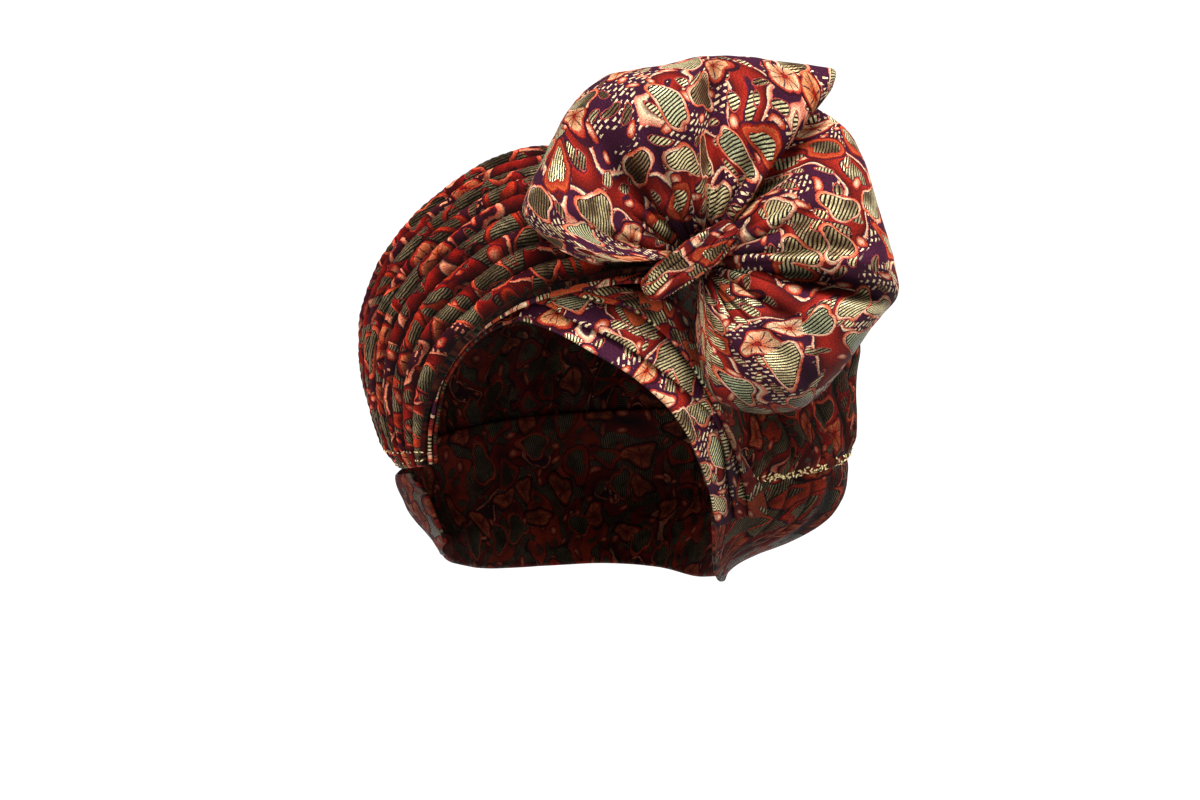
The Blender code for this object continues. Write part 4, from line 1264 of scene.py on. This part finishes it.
def nape_wrap():
    """Band below the seam, from the left temple round the nape to the right temple."""
    head, at = sizes().head, along_seam()
    turn, rise = table_at(SEAM, at).T
    high, low = direction(turn, rise), direction(*table_at(NAPE_HEM, at).T)
    shares = np.linspace(0, 1, NAPE_STEPS)
    start = BAG_START - NAPE_TUCK * lapped(turn)
    way = unit(np.stack([slerp(high, low, start + (1 - start) * t) for t in shares], axis=1))
    fullness = from_seam(shares, 0.05, 0.4)
    cuff = step(turn, *CUFF_TURNS)[:, None] * (1 - step(shares, *CUFF_FADE))[None]
    lift = head.ease + puffed(way) * fullness[None] + head.cuff_swell * cuff
    outer = on_head(way, lift + head.bag_wall)
    along, down = run_length(outer, 0), run_length(outer, 1)
    pleated = within(turn, SIDE_PLEATS)[:, None] * within(shares, NAPE_PLEATS)[None]
    piece = cloth_piece(
        "nape_wrap_cloth", outer, on_head(way, lift), laid_out(along, down, NAPE_STEPS // 2),
        fold_run=wandering(turn, (1.7, 0.27, 0.0), (0.8, 0.91, 0.0))[:, None],
        fold_depth=head.pleat_depth * pleated, fold_along=down, fold_facing=head_facing(way),
    )
    folded(piece, "nape_brocade", Fold_Count=0.8 * head.pleat_count, Dent_Size=0.022, **SLACK)
    return declared(piece, "nape_wrap")


def strip(node, low, high, lift, finish):
    """A flat fold laid between two lines of directions, its lower edge turned in."""
    head = sizes().head
    shares = np.linspace(0, 1, STRIP_ROWS) ** STRIP_CROWDING
    way = between(low, high, shares)
    lift = np.broadcast_to(lift, len(low))[:, None] + puffed(way)
    inner = on_head(way, lift)
    up = run_length(inner, 1)
    hem = HEM_HEIGHT * (1 - step(up, 0.8 * HEM_WIDTH, 1.3 * HEM_WIDTH))
    outer = on_head(way, lift + head.cloth_wall + hem - HEM_HEIGHT / 2)
    along = run_length(outer, 0)
    # Painted shade: darker towards the upper edge, where the next fold lies over it, and towards
    # the end at the wearer's left temple
    painted_covered_shade = COVERED_SHADE * step(shares, 0.45, 0.95)[None]
    aside = ASIDE_SHADE * step(turn_at(way), 58, 72)
    piece = cloth_piece(
        f"{node}_cloth", outer, inner, laid_out(along, up, STRIP_ROWS // 2),
        fold_facing=head_facing(way), fold_shade=np.maximum(painted_covered_shade, aside),
    )
    folded(piece, finish, Dent_Depth=0.0006, Dent_Size=0.030)
    return declared(piece, node)


def brow_strips():
    """Three folds over the left brow, each over the last, and the hem along the fan's foot."""
    steps = np.linspace(0, 1, STRIP_STEPS)
    lines = table_at(BROW_LINES, steps)
    rim, first, second, third = (direction(*lines[:, k : k + 2].T) for k in (0, 2, 4, 6))
    under_first = slerp(rim, first, np.full(STRIP_STEPS, UNDER_FIRST))
    under_second = slerp(first, second, np.full(STRIP_STEPS, UNDER_SECOND))
    lift, up = stacked(0.0), layer_step()
    strip("brow_band", rim, under_first, lift, "band_brocade")
    strip("brow_fold_lower", first, under_second, lift + up, "lower_fold_brocade")
    strip("brow_fold_upper", second, third, lift + 2 * up, "upper_fold_brocade")
    hem = table_at(HEM_LINES, steps)
    strip("brow_hem", direction(*hem[:, :2].T), direction(*hem[:, 2:4].T), stacked(hem[:, 4]),
          "hem_brocade")


def tangent_angle(to_foot, edge_normal, onward):
    """How far the halo edge turns over before it runs straight to the fan's foot."""
    facing = (to_foot * edge_normal).sum(-1)
    ahead = (to_foot * onward).sum(-1)
    aim = np.arctan2(ahead, facing) % (2 * math.pi)
    return (aim - np.arccos(sizes().fan.rim / np.hypot(facing, ahead)))[:, None]


def pleat_fan():
    """Front cloth rolled into pleats, turned over at the halo edge, and a plain back."""
    fan, head = sizes().fan, sizes().head
    shares = np.linspace(0, 1, FAN_STEPS)
    rows = table_at(FAN_STATIONS, shares)
    stations = np.array(FAN_STATIONS)
    least = stacked(rows[:, 2]) + layer_step() + 2 * head.layer_gap

    # Where the front starts on the forehead layers, the halo edge, and the foot of the back
    start = on_head(direction(rows[:, 0], rows[:, 1]), least)
    halo_way = unit(table_at(direction(stations[:, 3], stations[:, 4]), shares))
    tuck = 1 - fan.tuck * (1 - step(shares, 0.0, 0.05))
    halo = on_head(halo_way, rows[:, 5] * fan.stand * tuck)
    foot_way = unit(halo_way + np.array([0.0, fan.foot_back, 0.0]))
    foot = on_head(foot_way, puffed(foot_way) + over_bag(3))
    width = np.linalg.norm(halo - start, axis=1)[:, None]
    fullness = np.minimum(1, width / fan.full_width)

    # Front, swelled out between its start and the halo edge
    v = np.linspace(0, 1, fan.pleats * PLEAT_STEPS + 1)
    plain = start[:, None] * (1 - v)[:, None] + halo[:, None] * v[:, None]
    normal = grid_normals(plain)
    front = plain + normal * (fan.belly * fullness * np.sin(v * math.pi))[..., None]
    deep = fan.roll * width / fan.pleats

    # Round the halo edge, and then down the back to its foot
    edge_normal = normal[:, -1]
    edge_lift = deep * math.sqrt(1 - fan.crease)
    onward = unit(halo - start)
    onward = unit(onward - edge_normal * (onward * edge_normal).sum(-1, keepdims=True))
    hub = front[:, -1] + edge_normal * (edge_lift - fan.rim)
    turn_over = tangent_angle(foot - hub, edge_normal, onward)
    turned, facing = [], []
    for t in np.linspace(0, 1, RIM_STEPS + 1)[1:]:
        spoke = np.cos(turn_over * t) * edge_normal + np.sin(turn_over * t) * onward
        turned.append(hub + fan.rim * spoke)
        facing.append(spoke)
    rim_end = turned[-1]
    for t in np.linspace(0, 1, BACK_STEPS + 1)[1:]:
        swell = fan.back_belly * math.sin(t * math.pi) * fullness
        turned.append(rim_end * (1 - t) + foot * t + spoke * swell)
        facing.append(spoke)
    outer = np.concatenate([front, np.stack(turned, axis=1)], axis=1)
    facing = np.concatenate([normal, np.stack(facing, axis=1)], axis=1)

    # How far each point lies up the pleats, and where on the flat cloth
    columns = outer.shape[1]
    pleated = np.arange(columns) < len(v)
    run = np.zeros(columns)
    run[pleated] = v
    depth = np.where(pleated, deep, 0.0)
    along = run_length(outer, 0)
    rolled = outer[:, : len(v)] + normal * (
        deep * np.sqrt(1 - fan.crease * (2 * ((v * fan.pleats) % 1) - 1) ** 2)
    )[..., None]
    over = run_length(np.concatenate([rolled, outer[:, len(v):]], axis=1), 1)
    middle = over - over[:, len(v) // 2, None]
    hidden = np.where(pleated, np.floor(run * fan.pleats - BARELY / 100), fan.pleats - 1.0)
    middle = middle + fan.hidden * hidden[None]
    piece = cloth_piece(
        "pleat_fan_cloth", outer, outer - facing * head.cloth_wall,
        laid_out(along, middle, len(v) // 2), fold_run=run[None], fold_depth=depth,
        fold_along=along, fold_sink=np.where(run < 1 - 0.5 / fan.pleats, fan.sink, 0.0)[None],
        fold_facing=facing, fold_lean=onward[:, None],
    )
    folded(piece, "fan_brocade", Fold_Count=fan.pleats - BARELY, Crease=fan.crease, Lean=fan.lean,
           Roundness=fan.roundness, Lee=0.95, Unevenness=fan.unevenness, Crimp_Depth=fan.crimp,
           Crimp_Pitch=fan.crimp_pitch, Dent_Depth=0.0010, Dent_Size=0.022)

    # Kept clear of the forehead layers in front and of the bag behind
    points = points_of(piece)
    count = FAN_STEPS * columns
    behind = np.tile(~pleated, FAN_STEPS)
    spread = np.repeat(least, columns)
    for first, wall in ((0, head.cloth_wall), (count, 0.0)):
        side = points[first : first + count]
        way, _ = off_head(side)
        low = over_bag(2) + puffed(unit(way))
        low = low + lap_lift() * lapped(turn_at(way) % 360) ** LAP_SHARPNESS
        points[first : first + count] = cleared(side, np.where(behind, low, spread) + wall)
    set_points(piece, points)
    return declared(piece, "pleat_fan")


def bow_frame():
    """Across, up and out of the plane of the bow."""
    turn, tip = sizes().bow.turn, sizes().bow.tip
    across = np.array([math.cos(turn), math.sin(turn), 0.0])
    up = np.array([-math.sin(turn) * math.sin(tip), math.cos(turn) * math.sin(tip), math.cos(tip)])
    return across, up, np.cross(across, up)


def knot_spot():
    bow = sizes().bow
    return on_head(direction(math.degrees(bow.knot_turn), bow.knot_rise), bow.knot_stand)


def fold_height(angle, part, folds):
    """How far the folds raise or sink the cloth at each angle and share of the reach."""
    bow, height = sizes().bow, 0.0
    for at, half, depth, peak in folds:
        beside = np.exp(-(((angle - at) / half) ** 2))
        far = np.exp(-(((part - peak) / bow.fold_length) ** 2))
        height = height + depth * bow.reach * beside * far
    return height


def bow_loop(node, table, folds, middle, finish):
    """A hollow puffed loop, open at the knot: out in front, round the rim and back behind."""
    bow, wall = sizes().bow, sizes().head.cloth_wall
    across, up, out = bow_frame()
    centre = knot_spot() + bow.spread * (math.cos(middle) * across + math.sin(middle) * up)
    rows = table_at(table, np.linspace(0, 1, LOOP_STEPS))
    going = np.linspace(0, 1, FRONT_STEPS + 1)
    steps = np.concatenate([going, np.linspace(1, 0, BEHIND_STEPS + 1)[1:]])
    in_front = np.arange(len(steps)) <= FRONT_STEPS
    aim = np.radians(rows[:, :1] + rows[:, 5:] * step(steps, 0.15, 0.60))[..., None]
    spoke = np.cos(aim) * across + np.sin(aim) * up
    angle, reach, rim, front, back = rows[:, :5].T[..., None]

    # Outer face: how far each point lies from the knot, and how far it stands off the bow's plane
    outward = np.sin(steps * math.pi / 2) ** bow.rounding
    run = reach * bow.reach - bow.neck
    distance = bow.neck + run * outward
    bulge = np.abs(np.sin(steps * math.pi)) ** bow.fullness * bow.reach
    mouth = bow.mouth * (1 - steps) ** 2
    part = distance / (reach * bow.reach)
    creased = fold_height(angle, part, folds)
    sunk = np.maximum(creased, -DEEPEST_FOLD * (front + back) * bulge)
    height = np.where(in_front, front * bulge + mouth + sunk, -back * bulge - mouth)
    height = height + rim * bow.reach * steps**2
    outer = centre + spoke * distance[..., None] + out * height[..., None]
    facing = grid_normals(outer)
    if (facing[:, FRONT_STEPS // 2] @ out).mean() < 0:
        facing = -facing

    # Inner face, a wall's thickness inside it and nowhere past the middle
    inner_distance = bow.neck + (run - wall) * outward
    over, under = np.empty_like(height), np.empty_like(height)
    for k, at in enumerate(inner_distance):
        over[k] = np.interp(at, distance[k, in_front], height[k, in_front])
        under[k] = np.interp(at, distance[k, FRONT_STEPS:][::-1], height[k, FRONT_STEPS:][::-1])
    thick = np.minimum(wall, 0.40 * (over - under))
    inner_height = np.where(in_front, over - thick, under + thick)
    inner_height[:, FRONT_STEPS] = (over + under)[:, FRONT_STEPS] / 2
    inner = centre + spoke * inner_distance[..., None] + out * inner_height[..., None]

    # Flat cloth, painted shade in its deep folds, under the bow and next to the knot, and gathers
    # next to the knot
    along = run_length(outer, 1)
    around = run_length(outer[:, int(0.8 * FRONT_STEPS)][:, None], 0)
    full = 0.35 + 0.65 * np.minimum(1, part)
    flat = np.stack([along, (around - around.mean()) * full], axis=-1)
    # Painted shade: in the front's deep valleys, on the loop's downward side, and darkest next to
    # the knot
    painted_valley_shade = np.where(in_front, 0.75 * step(-creased / bow.reach, 0.012, 0.085), 0.0)
    painted_hanging_shade = 0.42 * step(-spoke @ up, 0.10, 0.75) * step(part, 0.30, 0.75)
    gathered = bow.gather_depth * within(part, LOOP_GATHERS) * np.where(in_front, 1.0, 0.5)
    piece = cloth_piece(
        f"{node}_cloth", outer, inner, flat, fold_depth=gathered, fold_along=along,
        fold_run=wandering(angle, (1.9, 0.13, 1.0), (1.2, 0.37, 0.0)), fold_facing=facing,
        fold_shade=painted_valley_shade + painted_hanging_shade + 0.85 * (1 - step(part, 0.08, 0.40)),
    )
    folded(piece, finish, Fold_Count=float(bow.gather_count), Crease=0.9, Unevenness=0.6,
           Underside=0.50, Dent_Depth=bow.crumple, Dent_Size=0.024)
    return declared(piece, node)


def bow():
    """The two loops of the bow."""
    shape = sizes().bow
    bow_loop("bow_loop_upper", UPPER_LOOP, UPPER_FOLDS, shape.upper_middle, "upper_loop_brocade")
    bow_loop("bow_loop_lower", LOWER_LOOP, LOWER_FOLDS, shape.lower_middle, "lower_loop_brocade")


def knot():
    """Twisted roll of cloth, fat in the middle, laid over the neck of the bow."""
    bow = sizes().bow
    across, up, out = bow_frame()
    along = math.cos(bow.knot_slope) * across + math.sin(bow.knot_slope) * up
    along = math.cos(bow.knot_dip) * along - math.sin(bow.knot_dip) * out
    side = unit(np.cross(out, along))
    over = np.cross(along, side)
    middle = knot_spot() + bow.knot_over * out - bow.knot_aside * across

    # A roll with rounded ends, fluted by its twist, that bends down at both ends
    t = np.linspace(0, 1, KNOT_STEPS)[:, None]
    a = np.linspace(0, 2 * math.pi, KNOT_SIDES, endpoint=False)[None]
    rounded = np.clip(np.minimum(t, 1 - t) / 0.07, 0, 1)
    end = np.sqrt(1 - (1 - rounded) ** 2)
    fat = KNOT_ENDS + (1 - KNOT_ENDS) * np.sin(t * math.pi)
    radius = bow.knot_radius * fat * (0.25 + 0.75 * end)
    twist = KNOT_TWIST * t
    flutes = 0.09 * np.cos(5 * a + twist) + 0.06 * np.cos(11 * a + 2.2 * twist + 1.0)
    furrow = np.maximum(0, np.cos(9 * a + 2.0 * twist + 1.5 * np.sin(9 * t))) ** 6
    flutes = flutes - 0.16 * furrow - 0.05 * np.abs(np.sin(17 * t + 2 * a)) ** 6
    r = radius * (1 + flutes)
    at = middle + along * (bow.knot_length * (t - 0.5))[..., None]
    at = at - over * (bow.knot_bend * (2 * t - 1) ** 2)[..., None]
    ring = np.cos(a)[..., None] * side + KNOT_FLATNESS * np.sin(a)[..., None] * over
    grid = at + r[..., None] * ring

    # Closed at both ends, its flat cloth one turn round
    count = KNOT_STEPS * KNOT_SIDES
    index = np.arange(count).reshape(KNOT_STEPS, KNOT_SIDES)
    ring = np.hstack([index, index[:, :1]])
    faces = quads_of(ring).tolist()
    for line, tip in ((ring[0], count), (ring[-1], count + 1)):
        faces += [[line[k], line[k + 1], tip] for k in range(KNOT_SIDES)]
    points = np.concatenate([grid.reshape(-1, 3), grid[[0, -1]].mean(1)])
    piece = placed("knot_cloth", points, faces)
    run = run_length(grid, 0)
    round_it = a / (2 * math.pi) * KNOT_ROUND + 0 * run
    flat = np.stack([run, round_it], -1).reshape(-1, 2)
    lay_flat(piece.data, np.concatenate([flat, flat[[0, -1]]]), KNOT_ROUND)
    put_field(piece.data, "wrong_side", np.zeros(len(points)))
    # Painted shade in the twist's furrows, on the roll's side turned towards the head and at its
    # two ends
    shade = 0.75 * furrow + 0 * run + 0.5 * (np.sin(a) < -0.2)
    put_field(piece.data, "fold_crease", np.append(np.minimum(shade, 0.85).ravel(), (0.5, 0.5)))
    piece.data.materials.append(brocade("knot_brocade"))
    return declared(piece, "knot")


def cloth_under(pieces):
    """Finds where lines from outside towards the head first meet any of these pieces."""
    trees = []
    for name in pieces:
        mesh = bpy.data.objects[name].data
        faces = [polygon.vertices[:] for polygon in mesh.polygons]
        trees.append(BVHTree.FromPolygons([vertex.co for vertex in mesh.vertices], faces))

    def found(way):
        hits = []
        for start in on_head(way, OUTSIDE):
            start = Vector(start)
            met = [tree.ray_cast(start, -start.normalized())[0] for tree in trees]
            near = [spot for spot in met if spot is not None]
            hits += sorted(near, key=lambda spot: (spot - start).length)[:1]
        return hits

    return found


def stitches(name, line, on, stitch, gap, thread, scatter, seed):
    """A row of gold stitches along a line of points, hung from the root as the cloth pieces are;
    on, the cloth it is sewn to, is not used.
    """
    mesh = bpy.data.meshes.new(name)
    mesh.from_pydata([tuple(p) for p in line], [(k, k + 1) for k in range(len(line) - 1)], [])
    piece = bpy.data.objects.new(name, mesh)
    bpy.context.scene.collection.objects.link(piece)
    made_real(piece, stitch_tree(), Stitch=stitch, Gap=gap, Thread=thread, Scatter=scatter,
              Seed=seed, Finish=gold_thread())
    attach(piece, "root")
    return piece


def seam_stitches():
    """Gold tacks along the bag's seam and across the far end of the fan."""
    found, cloth = cloth_under(["crown_bag_cloth", "nape_wrap_cloth"]), sizes().cloth
    tack = cloth.tack, cloth.tack_gap, cloth.tack_thread
    stitch = cloth.stitch, cloth.stitch_gap, cloth.stitch_thread
    for name, rows, points, wave, rate, sewn, scatter in (
        ("gold_bunch", BUNCHES, 40, 0.010, 2.3, tack, 2.2),
        ("seam_stitches", SEAM_ROWS, 60, 0.006, 0.9, stitch, 1.6),
    ):
        for row, (first, last, up, seed) in enumerate(rows):
            turn, rise = table_at(SEAM, np.linspace(first, last, points)).T
            line = found(direction(turn, rise + up + wave * np.sin(turn * rate + 2 * row)))
            stitches(f"{name}_{row + 1}", line, "crown_bag", *sewn, scatter, seed)
    columns = sizes().fan.pleats * PLEAT_STEPS + 1
    whole = columns + RIM_STEPS + BACK_STEPS
    fan = points_of(bpy.data.objects["pleat_fan_cloth"])
    for row, (inward, seed) in enumerate(FAN_ROWS):
        line = fan[inward * whole : inward * whole + columns : 5]
        stitches(f"fan_stitches_{row + 1}", line, "pleat_fan", *stitch, 1.2, seed)


class GeleStep(Operator):
    """One step of making the head tie"""

    bl_options = {"REGISTER", "UNDO"}


class GELE_OT_crown_bag(GeleStep):
    """Make the bag over the crown"""

    bl_idname = "gele.crown_bag"
    bl_label = "Crown bag"

    def execute(self, context):
        crown_bag()
        return {"FINISHED"}


class GELE_OT_nape_wrap(GeleStep):
    """Make the wrap round the nape"""

    bl_idname = "gele.nape_wrap"
    bl_label = "Nape wrap"

    def execute(self, context):
        nape_wrap()
        return {"FINISHED"}


class GELE_OT_brow_folds(GeleStep):
    """Make the folds over the brow and the hem strip"""

    bl_idname = "gele.brow_folds"
    bl_label = "Brow folds"

    def execute(self, context):
        brow_strips()
        return {"FINISHED"}


class GELE_OT_pleat_fan(GeleStep):
    """Make the pleated fan"""

    bl_idname = "gele.pleat_fan"
    bl_label = "Pleated fan"

    def execute(self, context):
        pleat_fan()
        return {"FINISHED"}


class GELE_OT_bow(GeleStep):
    """Make the two loops of the bow"""

    bl_idname = "gele.bow"
    bl_label = "Bow"

    def execute(self, context):
        bow()
        return {"FINISHED"}


class GELE_OT_knot(GeleStep):
    """Make the knot"""

    bl_idname = "gele.knot"
    bl_label = "Knot"

    def execute(self, context):
        knot()
        return {"FINISHED"}


class GELE_OT_stitches(GeleStep):
    """Sew the gold stitches"""

    bl_idname = "gele.stitches"
    bl_label = "Stitches"

    def execute(self, context):
        seam_stitches()
        return {"FINISHED"}


class GELE_OT_stage(GeleStep):
    """Set the floor, the lights and the camera"""

    bl_idname = "gele.stage"
    bl_label = "Floor, lights and camera"

    def execute(self, context):
        stage()
        return {"FINISHED"}


def stage():
    """Pale floor, soft light and the camera."""
    scene, look = bpy.context.scene, sizes().stage
    turn, height = look.camera_turn, look.camera_height
    level = math.cos(height)
    back = np.array([math.sin(turn) * level, -math.cos(turn) * level, math.sin(height)])
    right = np.array([math.cos(turn), math.sin(turn), 0.0])
    up = np.cross(back, right)
    aim = look.aim_across * right + look.aim_up * up
    eye = bpy.data.objects.new("camera", bpy.data.cameras.new("camera"))
    scene.collection.objects.link(eye)
    eye.data.lens = look.lens
    eye.data.clip_start, eye.data.clip_end = 0.05, 50.0
    eye.location = aim + back * look.camera_distance
    eye.rotation_euler = Matrix(np.stack([right, up, back], axis=1).tolist()).to_euler()
    scene.camera = eye

    # A wide floor
    floor, z = bpy.data.meshes.new("floor"), -look.floor_drop
    corners = [(x * FLOOR_HALF, y * FLOOR_HALF, z) for x, y in ((-1, -1), (1, -1), (1, 1), (-1, 1))]
    floor.from_pydata(corners, [], [(0, 1, 2, 3)])
    plane = bpy.data.objects.new("floor", floor)
    scene.collection.objects.link(plane)
    paint, w, shader = new_finish("floor_white")
    w.feed(shader["Base Color"], FLOOR_WHITE)
    w.feed(shader["Roughness"], 1.0)
    w.feed(shader["Specular IOR Level"], 0.0)
    floor.materials.append(paint)

    lamps = (
        ("key_light", 0.42 * back + 0.95 * up + 0.25 * right, look.key_power, look.key_width),
        ("fill_light", 0.80 * back + 0.30 * up - 0.60 * right, look.fill_power, look.fill_width),
    )
    for name, toward, power, width in lamps:
        lamp = bpy.data.lights.new(name, "SUN")
        lamp.energy, lamp.angle = power, width
        light = bpy.data.objects.new(name, lamp)
        scene.collection.objects.link(light)
        light.location = toward
        light.rotation_euler = Vector(toward).to_track_quat("Z", "Y").to_euler()
    world = bpy.data.worlds.new("studio")
    world.use_nodes = True
    sky = next(n for n in world.node_tree.nodes if n.type == "BACKGROUND")
    sky.inputs["Color"].default_value = SKY_WHITE
    sky.inputs["Strength"].default_value = look.sky
    scene.world = world
    scene.view_settings.view_transform = "Standard"


STEPS = (
    GELE_OT_crown_bag, GELE_OT_nape_wrap, GELE_OT_brow_folds, GELE_OT_pleat_fan, GELE_OT_bow,
    GELE_OT_knot, GELE_OT_stitches, GELE_OT_stage,
)


class GELE_PT_steps(Panel):
    """Sizes, colours and steps of the head tie"""

    bl_idname = "GELE_PT_steps"
    bl_label = "Tied gele"
    bl_space_type = "VIEW_3D"
    bl_region_type = "UI"
    bl_category = "Gele"

    def draw(self, context):
        gele = context.scene.gele
        for group in (gele.head, gele.fan, gele.bow, gele.cloth, gele.stage):
            box = self.layout.box()
            box.label(text=group.bl_rna.description)
            for key in type(group).__annotations__:
                box.prop(group, key)
        for made in STEPS:
            self.layout.operator(made.bl_idname)


CLASSES = (GeleHead, GeleFan, GeleBow, GeleCloth, GeleStage, Gele, *STEPS, GELE_PT_steps)


def register():
    for made in CLASSES:
        bpy.utils.register_class(made)
    bpy.types.Scene.gele = PointerProperty(type=Gele)


def unregister():
    del bpy.types.Scene.gele
    for made in reversed(CLASSES):
        bpy.utils.unregister_class(made)


def main():
    register()
    bpy.ops.gele.crown_bag()
    bpy.ops.gele.nape_wrap()
    bpy.ops.gele.brow_folds()
    bpy.ops.gele.pleat_fan()
    bpy.ops.gele.bow()
    bpy.ops.gele.knot()
    bpy.ops.gele.stitches()
    bpy.ops.gele.stage()


if __name__ == "__main__":
    main()
